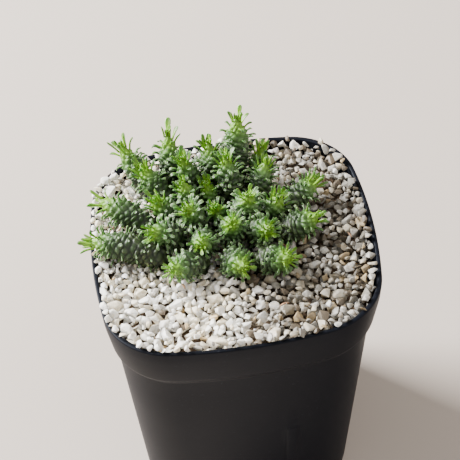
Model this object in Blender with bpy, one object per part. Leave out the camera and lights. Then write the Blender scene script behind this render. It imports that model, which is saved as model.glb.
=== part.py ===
"""A clump of leafy Euphorbia clavarioides stems in a square black nursery pot, top-dressed with gravel.

Lengths are in metres and +Z is up. The origin is the middle of the pot's flat base, and -Y is its front.
"""

import math
import random
from typing import NamedTuple

import bpy
import numpy as np
from mathutils import Vector
from mathutils.geometry import delaunay_2d_cdt

# The pot
RIM_WIDTH = 0.105
POT_HEIGHT = 0.112
CORNER_RADIUS = 0.027
SIDE_BOW = 0.0017
SKEW = 0.016
COLLAR_HEIGHT = 0.0184
COLLAR_LOW_WIDTH = 0.1004
COLLAR_STEP = 0.002
BODY_TOP_WIDTH = 0.0972
BODY_TAPER = 0.17
LIP_WIDTH = 0.0017
LIP_ROUND = 0.0006
WALL = 0.0012
FLOOR = 0.002
FOOT_CHAMFER = 0.0012
POT_BLACK = (0.012, 0.011, 0.012)
ARC_POINTS = 8
SIDE_POINTS = 3
DRAIN_SIDES = 12
DRAIN_RADIUS = 0.0045
DRAIN_OFFSET = 0.024
RIB_OFFSET = 0.015
RIB_WIDTH = 0.004
RIB_FOOT = 1.5 * FOOT_CHAMFER
RIB_TOP = POT_HEIGHT - 0.06
RIB_END = 0.002
RIB_PROUD = 0.0006
RIB_SUNK = WALL / 2
RIB_STEPS = 4
POT_SHARP = math.radians(28)

# The filling
GAP = 0.0003
SOIL_BROWN = (0.045, 0.03, 0.02)
STONE_WHITE = (0.62, 0.58, 0.52)
STONE_LEVEL = POT_HEIGHT - 0.002
SOIL_TOP = STONE_LEVEL - 0.0087
STONE_PITCH = 0.0054
STONE_JITTER = 0.0008
STONE_LOW = STONE_LEVEL - 0.0018
STONE_LOW_SPREAD = 0.0004
STONE_HIGH = STONE_LEVEL + 0.0007
STONE_HIGH_SPREAD = 0.0007
STONE_EDGE_MARGIN = 0.0012
STONE_POCKET_MARGIN = 0.001
STONE_UNDER_STEM = STONE_LEVEL - 0.0007
POCKET_SIDES = 8
POCKET_RADIUS = 0.0034
POCKET_TOP = STONE_LEVEL - 0.001
POCKET_END = STONE_LEVEL - 0.0063
SMALLEST_EDGE = 1e-7

# The stems
STEM_GREEN = (0.13, 0.27, 0.07)
STEM_EXIT = STONE_LEVEL - 0.0004
ROOT_END = STONE_LEVEL - 0.0055
ROOT_RADIUS = 0.003
BODY_RADIUS = 0.0041
TIP_TAPER = 0.0105
TAPER_POWER = 0.9
SWELL_LENGTH = 0.007
UPRIGHT_START = 0.45
TUBERCLE_HEIGHT = 0.0012
TUBERCLE_RISE = 0.00042
TUBERCLE_SIZES = (0.8, 1.15)
FOOT_TUBERCLE = 0.35
BUD_HEIGHT = 0.0008
BUD_RADIUS = 0.0007
LOWEST_BODY = STONE_LEVEL - 0.0002
LOWEST_LEAF = STONE_LEVEL + 0.001
LOWEST_OVER_RIM = POT_HEIGHT + 0.0004
RIM_MARGIN = 0.002
LEANS_LOW = STONE_LEVEL + 0.008
LEANS_NEAR = 0.0072
SIDE_GAP = 0.00045
PULL_IN = 0.08
PULL_TRIES = 12
AXIS_STEP = 0.0008
AXIS_SAMPLES = 200
FIRST_SEED = 100
STEM_SHARP = math.radians(40)

# The leaves
LEAVES = 17
LEAF_LENGTH = 0.0056
LEAF_SIZES = (0.9, 1.08)
LEAF_HALF_WIDTH = 0.0009
LEAF_NECK = 0.00045
LEAF_NECK_AT = 0.25
LEAF_WIDEST_AT = 0.76
LEAF_THICK = 0.00065
LEAF_CHANNEL = 0.0001
LEAF_EDGE_RISE = LEAF_THICK / 3
LEAF_SEAT = TUBERCLE_HEIGHT / 3
LEAF_CURL = 0.32
STEEPEST_LEAF = math.radians(7)
FLATTEST_LEAF = math.radians(104)
SPREAD_POWER = 0.8
SPREAD_CHANCE = 0.08
YOUNG_LENGTH = 0.8
YOUNG_RANK = 0.25
OLD_LENGTH = 0.8
OLD_RANK = 0.5
TUFT_RANK = 0.7
LEAF_TRIES = 9
SHORTER = 0.88
STEEPER = 0.9
CLAMP_STEP = 0.0001

# Each tubercle's neighbours are the 5th, 8th and 13th after it, and the 13th stands almost straight above it.
GOLDEN_ANGLE = math.pi * (3 - math.sqrt(5))
THIRTEEN_TURNS = 13 * GOLDEN_ANGLE
VALLEY_TURN = (THIRTEEN_TURNS - 2 * math.pi * round(THIRTEEN_TURNS / (2 * math.pi))) / 2
VALLEY_RISE = 6.5 * TUBERCLE_RISE


class Stem(NamedTuple):
    """A stem's root, its tip (x, y, height over the stones), its bend, its girth and its young leaves' length."""

    root: tuple
    tip: tuple
    lean: float = 0.5
    rise: float = 0.5
    girth: float = 1.0
    tuft: float = 1.0


STEMS = (
    Stem((-0.029, 0.031), (-0.037, 0.039, 0.020), girth=0.95, tuft=1.3),
    Stem((-0.023, 0.023), (-0.031, 0.029, 0.018), tuft=1.1),
    Stem((-0.019, 0.034), (-0.019, 0.041, 0.021), girth=0.95, tuft=1.35),
    Stem((-0.012, 0.027), (-0.015, 0.027, 0.022), girth=0.95),
    Stem((-0.014, 0.018), (-0.016, 0.019, 0.017), girth=0.85),
    Stem((-0.003, 0.030), (-0.004, 0.036, 0.020), girth=0.95, tuft=1.1),
    Stem((0.006, 0.033), (0.008, 0.038, 0.029), girth=1.05, tuft=1.3),
    Stem((0.003, 0.021), (0.001, 0.025, 0.022)),
    Stem((0.014, 0.028), (0.017, 0.035, 0.015), girth=0.95, tuft=1.1),
    Stem((0.011, 0.018), (0.017, 0.025, 0.017), girth=0.90),
    Stem((-0.006, 0.020), (-0.007, 0.020, 0.014), girth=0.75),
    Stem((-0.029, 0.007), (-0.049, 0.019, 0.013), 0.35, 0.80, girth=1.05, tuft=1.35),
    Stem((-0.021, 0.013), (-0.028, 0.013, 0.016)),
    Stem((-0.012, 0.009), (-0.017, 0.003, 0.019), 0.50, 0.60),
    Stem((-0.003, 0.010), (-0.006, 0.008, 0.014), girth=0.70),
    Stem((0.006, 0.009), (0.007, 0.006, 0.019), girth=1.05, tuft=0.9),
    Stem((0.015, 0.009), (0.020, 0.009, 0.013), girth=0.85),
    Stem((0.023, 0.014), (0.0355, 0.0175, 0.011), 0.40, 0.70, girth=0.95, tuft=1.2),
    Stem((0.019, 0.000), (0.0325, -0.002, 0.012), 0.40, 0.70, girth=1.05, tuft=1.2),
    Stem((0.009, 0.000), (0.013, -0.010, 0.015), 0.45, 0.60, tuft=0.9),
    Stem((0.000, 0.001), (-0.001, -0.006, 0.018), 0.50, 0.60, tuft=0.85),
    Stem((-0.010, 0.000), (-0.014, -0.012, 0.014), 0.45, 0.60, tuft=0.85),
    Stem((-0.021, 0.003), (-0.032, -0.004, 0.015), 0.45, 0.70, girth=1.05),
    Stem((-0.027, -0.005), (-0.0545, 0.002, 0.0085), 0.35, 0.85, girth=1.20, tuft=1.3),
    Stem((-0.014, -0.010), (-0.024, -0.020, 0.011), 0.40, 0.60, girth=1.10, tuft=0.8),
    Stem((-0.003, -0.010), (0.000, -0.022, 0.010), 0.40, 0.55, girth=1.10, tuft=0.8),
    Stem((0.009, -0.012), (0.019, -0.021, 0.011), 0.40, 0.60, girth=1.15, tuft=0.85),
)


def material(name, colour, roughness):
    """A Principled material of one colour."""
    made = bpy.data.materials.new(name)
    made.use_nodes = True
    shader = made.node_tree.nodes["Principled BSDF"]
    shader.inputs["Base Color"].default_value = (*colour, 1.0)
    shader.inputs["Roughness"].default_value = roughness
    shader.inputs["Metallic"].default_value = 0.0
    return made


def add_object(name, points, faces, finish, smooth_angle=None):
    """A mesh object at the origin, shaded smooth below smooth_angle where one is given."""
    mesh = bpy.data.meshes.new(name)
    mesh.from_pydata([tuple(point) for point in points], [], faces)
    mesh.validate()
    if smooth_angle is not None:
        mesh.shade_smooth()
        mesh.set_sharp_from_angle(angle=smooth_angle)
    mesh.materials.append(finish)
    made = bpy.data.objects.new(name, mesh)
    bpy.context.scene.collection.objects.link(made)
    return made


def apply_boolean(target, cutter, operation):
    """Joins or cuts target with cutter, and removes the cutter."""
    cutter.hide_render = True
    cutter.display_type = "WIRE"
    modifier = target.modifiers.new(operation.lower(), "BOOLEAN")
    modifier.object = cutter
    modifier.operation = operation
    graph = bpy.context.evaluated_depsgraph_get()
    old = target.data
    target.data = bpy.data.meshes.new_from_object(target.evaluated_get(graph))
    target.modifiers.clear()
    bpy.data.meshes.remove(old)
    bpy.data.objects.remove(cutter)


def out_of_square(x, y):
    """The soft pot's mouth is pushed slightly towards a lozenge."""
    return x + SKEW * y, y + SKEW * x


def outline(width, z):
    """One ring of points round the pot: a rounded square whose sides bow outwards."""
    half = width / 2
    radius = CORNER_RADIUS * width / RIM_WIDTH
    straight = half - radius
    corner = []
    for step in range(ARC_POINTS):
        angle = math.pi / 2 * step / (ARC_POINTS - 1)
        corner.append((straight + radius * math.cos(angle), straight + radius * math.sin(angle)))
    side = []
    for step in range(1, SIDE_POINTS + 1):
        along = 1 - 2 * step / (SIDE_POINTS + 1)
        side.append((straight * along, half + SIDE_BOW * (1 - along * along)))
    ring = []
    for quarter in range(4):
        turn = math.pi / 2 * quarter
        for x, y in corner + side:
            turned_x = x * math.cos(turn) - y * math.sin(turn)
            turned_y = x * math.sin(turn) + y * math.cos(turn)
            ring.append(Vector((*out_of_square(turned_x, turned_y), z)))
    return ring


def body_width(z):
    """Outer width of the tapered body at height z."""
    top = POT_HEIGHT - COLLAR_HEIGHT - COLLAR_STEP
    return BODY_TOP_WIDTH - BODY_TAPER * (top - z)


def inside_profile():
    """Heights and widths of the pot's inner face, from the floor up to the lip."""
    collar_low = POT_HEIGHT - COLLAR_HEIGHT
    body_top = collar_low - COLLAR_STEP
    return (
        (FLOOR, body_width(FLOOR) - 2 * WALL),
        (body_top, BODY_TOP_WIDTH - 2 * WALL),
        (collar_low, COLLAR_LOW_WIDTH - 2 * WALL),
        (POT_HEIGHT - 2 * LIP_ROUND, RIM_WIDTH - 2 * LIP_WIDTH - 2 * LIP_ROUND),
    )


def inside_width(z):
    """Inner width of the pot at height z."""
    heights, widths = zip(*inside_profile())
    return float(np.interp(z, heights, widths))


def circle(x, y, z, radius, sides):
    """A level ring of points round x, y, anticlockwise from above."""
    turns = [2 * math.pi * i / sides for i in range(sides)]
    return [Vector((x + radius * math.cos(turn), y + radius * math.sin(turn), z)) for turn in turns]


def loft(rings):
    """Points and faces of the closed body through these rings, each turning anticlockwise from above."""
    points = [point for ring in rings for point in ring]
    size = len(rings[0])
    faces = [tuple(range(size))[::-1]]
    for level in range(len(rings) - 1):
        start = level * size
        for i in range(size):
            j = (i + 1) % size
            faces.append((start + i, start + j, start + size + j, start + size + i))
    last = (len(rings) - 1) * size
    faces.append(tuple(range(last, last + size)))
    return points, faces


def rib_block(turn):
    """One rounded upright rib on a side wall, from the base to its sloped end, sunk into the wall."""
    levels = ((RIB_FOOT, 0.0), (RIB_TOP - RIB_END, 0.0), (RIB_TOP, RIB_PROUD + RIB_SUNK / 2))
    round_front = [math.pi * step / RIB_STEPS for step in range(RIB_STEPS + 1)]
    rings = []
    for z, sunk in levels:
        half = body_width(z) / 2
        straight = half * (1 - 2 * CORNER_RADIUS / RIM_WIDTH)
        section = [(-0.5, -RIB_SUNK), (0.5, -RIB_SUNK)]
        section += [(math.cos(angle) / 2, RIB_PROUD * math.sin(angle) - sunk) for angle in round_front]
        points = []
        for across, out in reversed(section):
            x = RIB_OFFSET + across * RIB_WIDTH
            y = -(half + SIDE_BOW * (1 - (x / straight) ** 2) + max(out, -RIB_SUNK))
            turned_x = x * math.cos(turn) - y * math.sin(turn)
            turned_y = x * math.sin(turn) + y * math.cos(turn)
            points.append(Vector((*out_of_square(turned_x, turned_y), z)))
        rings.append(points)
    return loft(rings)


def drain_cutter(x, y):
    """A short upright cylinder through the pot's floor."""
    return loft([circle(x, y, z, DRAIN_RADIUS, DRAIN_SIDES) for z in (-FLOOR, 2 * FLOOR)])


def merged(pieces):
    """Points and faces of several closed bodies, as one list of each."""
    points, faces = [], []
    for piece_points, piece_faces in pieces:
        start = len(points)
        points.extend(piece_points)
        faces.extend(tuple(start + i for i in face) for face in piece_faces)
    return points, faces


def build_pot(finish):
    """The open pot: flat base, tapered body, collar with a rounded lip, and the inner face to the floor."""
    collar_low = POT_HEIGHT - COLLAR_HEIGHT
    outside = (
        (body_width(0) - 2 * FOOT_CHAMFER, 0.0),
        (body_width(FOOT_CHAMFER), FOOT_CHAMFER),
        (BODY_TOP_WIDTH, collar_low - COLLAR_STEP),
        (COLLAR_LOW_WIDTH, collar_low),
        (RIM_WIDTH - LIP_ROUND / 2, POT_HEIGHT - LIP_ROUND),
        (RIM_WIDTH - LIP_ROUND * 2, POT_HEIGHT),
        (RIM_WIDTH - 2 * LIP_WIDTH, POT_HEIGHT),
    )
    rings = [outline(width, z) for width, z in outside]
    rings += [outline(width, z) for z, width in reversed(inside_profile())]
    points, faces = loft(rings)
    pot = add_object("pot", points, faces, finish)
    ribs = merged([rib_block(0), rib_block(math.pi)])
    apply_boolean(pot, add_object("ribs", *ribs, finish), "UNION")
    drains = [drain_cutter(x * DRAIN_OFFSET, y * DRAIN_OFFSET) for x in (-1, 1) for y in (-1, 1)]
    apply_boolean(pot, add_object("drains", *merged(drains), finish), "DIFFERENCE")
    pot.data.shade_smooth()
    pot.data.set_sharp_from_angle(angle=POT_SHARP)
    return pot


def build_soil(finish):
    """The soil that fills the pot up to the gravel."""
    profile = inside_profile()
    levels = [FLOOR + GAP] + [z for z, _ in profile[1:3]] + [SOIL_TOP]
    rings = [outline(inside_width(z) - 2 * GAP, z) for z in levels]
    return add_object("soil", *loft(rings), finish)


def stem_axis(stem):
    """Evenly spaced points up the middle of a stem, from where it leaves the gravel to its growing tip."""
    start = Vector((*stem.root, STEM_EXIT))
    tip = Vector(stem.tip) + Vector((0, 0, STONE_LEVEL))
    across = Vector((tip.x - start.x, tip.y - start.y, 0))
    upward = Vector((0, 0, tip.z - start.z))
    controls = (start, start + UPRIGHT_START * upward, start + stem.lean * across + stem.rise * upward, tip)
    fine = []
    for step in range(AXIS_SAMPLES + 1):
        t = step / AXIS_SAMPLES
        weights = ((1 - t) ** 3, 3 * t * (1 - t) ** 2, 3 * t * t * (1 - t), t**3)
        fine.append(sum((w * c for w, c in zip(weights, controls)), Vector((0, 0, 0))))
    fine = np.array([tuple(point) for point in fine])
    along = np.concatenate([[0], np.cumsum(np.linalg.norm(np.diff(fine, axis=0), axis=1))])
    count = int(along[-1] / AXIS_STEP)
    marks = np.linspace(0, along[-1], count + 1)
    return np.column_stack([np.interp(marks, along, fine[:, k]) for k in range(3)]), float(along[-1])


class StemForm:
    """The surface of one stem: golden-angle tubercles up a bent club, with leaves round its growing tip."""

    def __init__(self, index, axes, lengths):
        self.random = random.Random(FIRST_SEED + index)
        self.girth = STEMS[index].girth
        self.tuft = STEMS[index].tuft
        self.axis = axes[index]
        self.others = np.concatenate([axis for i, axis in enumerate(axes) if i != index])
        self.length = lengths[index]
        self.count = int((self.length - TUBERCLE_RISE) / TUBERCLE_RISE)
        self.twist = self.random.uniform(0, 2 * math.pi)
        self.points = []
        self.faces = []

    def centre(self, s):
        """The axis point at a length s up the stem, and the axis's direction there."""
        place = np.clip(s / self.length, 0, 1) * (len(self.axis) - 1)
        low = min(int(place), len(self.axis) - 2)
        point = Vector(self.axis[low]).lerp(Vector(self.axis[low + 1]), place - low)
        before = Vector(self.axis[max(low - 1, 0)])
        after = Vector(self.axis[min(low + 2, len(self.axis) - 1)])
        return point, (after - before).normalized()

    def radius(self, s):
        """The bare stem's radius: it swells above the gravel and tapers to the growing tip."""
        swell = min(max(s, 0) / SWELL_LENGTH, 1)
        swell = swell * swell * (3 - 2 * swell)
        full = ROOT_RADIUS + (BODY_RADIUS * self.girth - ROOT_RADIUS) * swell
        from_tip = min(max(self.length - s, 0) / min(TIP_TAPER, self.length / 2), 1)
        return max(full * math.sin(math.pi / 2 * from_tip) ** TAPER_POWER, BUD_RADIUS)

    def skin(self, s, angle):
        """A point of the bare stem, its outward normal, its sideways direction and the axis's direction."""
        point, forward = self.centre(s)
        turn = Vector((0, 0, 1)).rotation_difference(forward)
        radial = turn @ Vector((math.cos(angle), math.sin(angle), 0))
        sideways = turn @ Vector((-math.sin(angle), math.cos(angle), 0))
        slope = (self.radius(s + AXIS_STEP / 2) - self.radius(s - AXIS_STEP / 2)) / AXIS_STEP
        normal = (radial - forward * slope).normalized()
        return point + radial * self.radius(s), normal, sideways, forward

    def has_room(self, point):
        """Whether a point is on this stem's side of the halfway surface to every other stem."""
        near = np.linalg.norm(self.axis - np.array(point), axis=1).min()
        return near + SIDE_GAP < np.linalg.norm(self.others - np.array(point), axis=1).min()

    def kept_clear(self, point, lowest):
        """The point, drawn towards the axis until it has room, and lifted off the gravel and the rim."""
        point = Vector(point)
        nearest = Vector(self.axis[np.linalg.norm(self.axis - np.array(point), axis=1).argmin()])
        for _ in range(PULL_TRIES):
            if self.has_room(point):
                break
            point = point.lerp(nearest, PULL_IN)
        over_rim = max(abs(point.x), abs(point.y)) > RIM_WIDTH / 2 - LIP_WIDTH - RIM_MARGIN
        point.z = max(point.z, LOWEST_OVER_RIM if over_rim else lowest)
        return point

    def add_point(self, point):
        """Stores a point and gives its number."""
        self.points.append(point)
        return len(self.points) - 1

    def add_band(self, low, high):
        """Two triangles between each pair of neighbouring points of two rings."""
        for i in range(len(low)):
            j = (i + 1) % len(low)
            self.faces.append((low[i], low[j], high[j]))
            self.faces.append((low[i], high[j], high[i]))

    def add_fan(self, ring, top):
        """A triangle from each edge of a ring to one point."""
        for i in range(len(ring)):
            self.faces.append((ring[i], ring[(i + 1) % len(ring)], top))

    def valley(self, n):
        """The hollow above tubercle n, which four tubercles share. Those below 0 are the root ring."""
        angle = self.twist + n * GOLDEN_ANGLE + VALLEY_TURN
        if n < 0:
            point, _ = self.centre(0)
            return point + ROOT_RADIUS * Vector((math.cos(angle), math.sin(angle), 0))
        s = min((n + 1) * TUBERCLE_RISE + VALLEY_RISE, self.length - BUD_RADIUS / 4)
        point, _, _, _ = self.skin(s, angle)
        return self.kept_clear(point, LOWEST_BODY)

    def add_tubercle(self, n, corners):
        """A low rounded knob: one peak over the four valleys round it."""
        s = (n + 1) * TUBERCLE_RISE
        point, normal, _, _ = self.skin(s, self.twist + n * GOLDEN_ANGLE)
        grown = min(1, FOOT_TUBERCLE + (1 - FOOT_TUBERCLE) * s / SWELL_LENGTH)
        height = TUBERCLE_HEIGHT * grown * self.random.uniform(*TUBERCLE_SIZES)
        peak = self.kept_clear(point + normal * height, LOWEST_BODY)
        self.add_fan(corners, self.add_point(peak))

    def leaf_rings(self, n, length, angle_from_axis):
        """The neck, the widest place and the tip of one channelled leaf, bent outwards along its length."""
        s = (n + 1) * TUBERCLE_RISE
        base, normal, sideways, forward = self.skin(s, self.twist + n * GOLDEN_ANGLE)
        radial = sideways.cross(forward).normalized()
        along = forward * math.cos(angle_from_axis) + radial * math.sin(angle_from_axis)
        upper = sideways.cross(along) * -1
        base = base + normal * LEAF_SEAT
        rings = []
        for reach, half_width in ((LEAF_NECK_AT, LEAF_NECK), (LEAF_WIDEST_AT, LEAF_HALF_WIDTH)):
            middle = base + along * length * reach - upper * length * LEAF_CURL * reach**3
            rings.append((
                middle + upper * LEAF_CHANNEL,
                middle + upper * LEAF_EDGE_RISE - sideways * half_width,
                middle - upper * (LEAF_THICK - LEAF_CHANNEL),
                middle + upper * LEAF_EDGE_RISE + sideways * half_width,
            ))
        tip = base + along * length - upper * length * LEAF_CURL
        return rings[0], rings[1], tip

    def add_leaf(self, n, corners):
        """One leaf on its tubercle, shorter and steeper where a neighbouring stem leaves little room."""
        rank = (self.count - 1 - n) / (LEAVES - 1)
        grown = YOUNG_LENGTH + (1 - YOUNG_LENGTH) * min(1, rank / YOUNG_RANK)
        shrunk = 1 - (1 - OLD_LENGTH) * max(0, (rank - OLD_RANK) / (1 - OLD_RANK))
        tufted = 1 + (self.tuft - 1) * max(0, 1 - rank / TUFT_RANK)
        length = LEAF_LENGTH * grown * shrunk * tufted * self.random.uniform(*LEAF_SIZES)
        spread = STEEPEST_LEAF + (FLATTEST_LEAF - STEEPEST_LEAF) * rank**SPREAD_POWER
        spread += self.random.uniform(-SPREAD_CHANCE, SPREAD_CHANCE)
        for _ in range(LEAF_TRIES):
            neck, blade, tip = self.leaf_rings(n, length, spread)
            if self.has_room(tip) and all(self.has_room(point) for point in blade):
                break
            length *= SHORTER
            spread *= STEEPER
        neck = [self.add_point(self.kept_clear(point, LOWEST_BODY)) for point in neck]
        lowest = [LOWEST_LEAF - i % 3 * CLAMP_STEP for i in range(len(blade))]
        blade = [self.add_point(self.kept_clear(point, low)) for point, low in zip(blade, lowest)]
        self.add_band(corners, neck)
        self.add_band(neck, blade)
        self.add_fan(blade, self.add_point(self.kept_clear(tip, LOWEST_LEAF)))

    def by_angle(self, first):
        """Thirteen tubercle numbers from first on, in their order round the stem."""
        return sorted(range(first, first + 13), key=lambda n: (n * GOLDEN_ANGLE) % (2 * math.pi))

    def build(self):
        """All points and faces of the stem."""
        valleys = {n: self.add_point(self.valley(n)) for n in range(-13, self.count)}
        for n in range(self.count):
            corners = [valleys[n], valleys[n - 8], valleys[n - 13], valleys[n - 5]]
            if n < self.count - LEAVES:
                self.add_tubercle(n, corners)
            else:
                self.add_leaf(n, corners)
        top = [valleys[n] for n in self.by_angle(self.count - 13)]
        end, forward = self.centre(self.length)
        self.add_fan(top, self.add_point(end + forward * BUD_HEIGHT))
        bottom = [valleys[n] for n in self.by_angle(-13)]
        root = Vector((self.axis[0][0], self.axis[0][1], ROOT_END))
        self.add_fan(bottom[::-1], self.add_point(root))
        return self.points, self.faces


def stone_height(x, y, wanted, axes):
    """A stone point's height, held down where a stem stands or leans close above it."""
    flat = np.hypot(axes[:, 0] - x, axes[:, 1] - y)
    under_stem = ((flat < LEANS_NEAR) & (axes[:, 2] < LEANS_LOW)).any()
    return min(wanted, STONE_UNDER_STEM) if under_stem else wanted


def stone_points(width, axes):
    """A jittered hexagonal field: a raised point in the middle of each stone and low points between them."""
    chance = random.Random(7)
    row = STONE_PITCH * math.sqrt(3) / 2
    reach = int(width / row)
    points = []
    for j in range(-reach, reach + 1):
        for i in range(-reach, reach + 1):
            middle_x = (i + (j % 2) / 2) * STONE_PITCH
            places = (
                (middle_x, j * row, True),
                (middle_x, (j + 2 / 3) * row, False),
                (middle_x + STONE_PITCH / 2, (j + 1 / 3) * row, False),
            )
            for x, y, raised in places:
                x += chance.uniform(-STONE_JITTER, STONE_JITTER)
                y += chance.uniform(-STONE_JITTER, STONE_JITTER)
                if raised:
                    height = STONE_HIGH - chance.uniform(0, STONE_HIGH_SPREAD)
                else:
                    height = STONE_LOW + chance.uniform(0, STONE_LOW_SPREAD)
                points.append(Vector((x, y, stone_height(x, y, height, axes))))
    return points


def inside_ring(point, ring, margin):
    """Whether a point lies inside a convex ring by at least a margin."""
    for a, b in zip(ring, ring[1:] + ring[:1]):
        edge = Vector((b.x - a.x, b.y - a.y))
        distance = (edge.x * (point.y - a.y) - edge.y * (point.x - a.x)) / edge.length
        if distance < margin:
            return False
    return True


def build_gravel(axes, finish):
    """The gravel layer: stones in low relief on top, with a tapered pocket for each stem's root."""
    edge_z = (STONE_LOW + STONE_HIGH) / 2
    edge = outline(inside_width(edge_z) - 2 * GAP, edge_z)
    low_z = SOIL_TOP + GAP
    low_edge = outline(inside_width(low_z) - 2 * GAP, low_z)
    top = list(edge)
    loops = [list(range(len(edge)))]
    for axis in axes:
        loops.append(list(range(len(top), len(top) + POCKET_SIDES)))
        top.extend(circle(axis[0][0], axis[0][1], POCKET_TOP, POCKET_RADIUS, POCKET_SIDES))
    for point in stone_points(inside_width(edge_z), np.concatenate(axes)):
        nearest_root = min(math.hypot(point.x - axis[0][0], point.y - axis[0][1]) for axis in axes)
        clear_of_pockets = nearest_root > POCKET_RADIUS + STONE_POCKET_MARGIN
        if clear_of_pockets and inside_ring(point, edge, STONE_EDGE_MARGIN):
            top.append(point)
    sides = [(loop[i], loop[(i + 1) % len(loop)]) for loop in loops for i in range(len(loop))]
    flat = [Vector((point.x, point.y)) for point in top]
    _, _, triangles, origins, _, _ = delaunay_2d_cdt(flat, sides, [], 0, SMALLEST_EDGE)
    origin_of = [found[0] for found in origins]
    points = list(top)
    faces = []
    for triangle in triangles:
        corners = [origin_of[i] for i in triangle]
        if not any(all(corner in loop for corner in corners) for loop in map(set, loops[1:])):
            faces.append(tuple(corners))
    for loop, axis in zip(loops[1:], axes):
        points.append(Vector((axis[0][0], axis[0][1], POCKET_END)))
        for i, corner in enumerate(loop):
            faces.append((corner, loop[(i + 1) % POCKET_SIDES], len(points) - 1))
    start = len(points)
    points.extend(low_edge)
    size = len(edge)
    for i in range(size):
        j = (i + 1) % size
        faces.append((start + i, start + j, j, i))
    faces.append(tuple(range(start, start + size))[::-1])
    return add_object("gravel", points, faces, finish)


def main():
    """Clears the scene and models the pot, its filling and the stems."""
    for old in list(bpy.data.objects):
        bpy.data.objects.remove(old, do_unlink=True)
    pot_finish = material("pot_plastic", POT_BLACK, 0.45)
    soil_finish = material("soil", SOIL_BROWN, 0.95)
    gravel_finish = material("gravel", STONE_WHITE, 0.85)
    stem_finish = material("stem", STEM_GREEN, 0.55)
    measured = [stem_axis(stem) for stem in STEMS]
    axes = [axis for axis, _ in measured]
    lengths = [length for _, length in measured]
    build_pot(pot_finish)
    build_soil(soil_finish)
    build_gravel(axes, gravel_finish)
    for index in range(len(STEMS)):
        points, faces = StemForm(index, axes, lengths).build()
        add_object(f"stem_{index + 1:02d}", points, faces, stem_finish, STEM_SHARP)


main()
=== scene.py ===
"""The looks of a potted Euphorbia clavarioides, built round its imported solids.

Lengths are in metres, +Z is up, the origin is the middle of the pot's base and -Y is its front.
"""

import logging
import math
import random
from collections.abc import Mapping, Sequence
from dataclasses import dataclass, field
from enum import Enum
from typing import ClassVar

import bmesh
import bpy
import numpy as np
from mathutils import Matrix, Vector


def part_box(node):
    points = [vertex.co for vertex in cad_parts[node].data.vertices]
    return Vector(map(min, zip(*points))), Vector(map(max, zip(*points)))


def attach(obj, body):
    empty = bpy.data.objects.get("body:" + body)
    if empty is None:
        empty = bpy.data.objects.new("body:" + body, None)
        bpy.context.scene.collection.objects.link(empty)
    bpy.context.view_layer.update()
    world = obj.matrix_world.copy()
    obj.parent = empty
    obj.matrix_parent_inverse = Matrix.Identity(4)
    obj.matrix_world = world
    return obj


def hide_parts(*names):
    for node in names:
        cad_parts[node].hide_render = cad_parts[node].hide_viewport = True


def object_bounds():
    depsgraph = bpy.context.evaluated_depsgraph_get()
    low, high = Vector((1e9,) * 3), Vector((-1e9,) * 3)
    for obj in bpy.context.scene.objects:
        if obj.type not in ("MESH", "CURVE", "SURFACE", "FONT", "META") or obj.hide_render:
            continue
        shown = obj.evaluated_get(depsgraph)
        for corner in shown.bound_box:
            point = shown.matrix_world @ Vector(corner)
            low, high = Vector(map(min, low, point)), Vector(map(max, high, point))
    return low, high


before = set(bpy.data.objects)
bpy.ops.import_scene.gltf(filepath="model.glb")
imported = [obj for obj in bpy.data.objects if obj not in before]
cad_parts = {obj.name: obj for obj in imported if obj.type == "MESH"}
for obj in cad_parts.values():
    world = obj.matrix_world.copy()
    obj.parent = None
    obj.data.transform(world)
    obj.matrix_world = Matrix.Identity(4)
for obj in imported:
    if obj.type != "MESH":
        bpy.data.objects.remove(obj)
cad_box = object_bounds()

log = logging.getLogger("potted_euphorbia")

Colour = tuple[float, float, float]
BODY = "root"
FULL_TURN = 2 * math.pi
GOLDEN_ANGLE = math.pi * (3 - math.sqrt(5))
GRAVEL_DROP = 0.002


def tone(red: float, green: float, blue: float) -> Colour:
    """Turns a screen colour into the linear one that a shader takes.

    Args:
        red, green, blue: Screen values from 0 to 255.

    Returns:
        The linear colour.
    """
    screen = (red / 255, green / 255, blue / 255)
    return tuple(c / 12.92 if c <= 0.04045 else ((c + 0.055) / 1.055) ** 2.4 for c in screen)


def wrapped(angle: float) -> float:
    """The same angle between minus and plus half a turn."""
    return angle - FULL_TURN * round(angle / FULL_TURN)


def unit(rows: np.ndarray) -> np.ndarray:
    """The same directions, each of length 1."""
    return rows / np.linalg.norm(rows, axis=1)[:, None]


def read_off(at: np.ndarray, marks: np.ndarray, rows: np.ndarray) -> np.ndarray:
    """Rows of three numbers, read off between the marks that they belong to."""
    return np.column_stack([np.interp(at, marks, column) for column in rows.T])


def new_object(name: str, data: bpy.types.ID) -> bpy.types.Object:
    """Makes an object of some data and links it to the scene."""
    thing = bpy.data.objects.new(name, data)
    bpy.context.scene.collection.objects.link(thing)
    return thing


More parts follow.
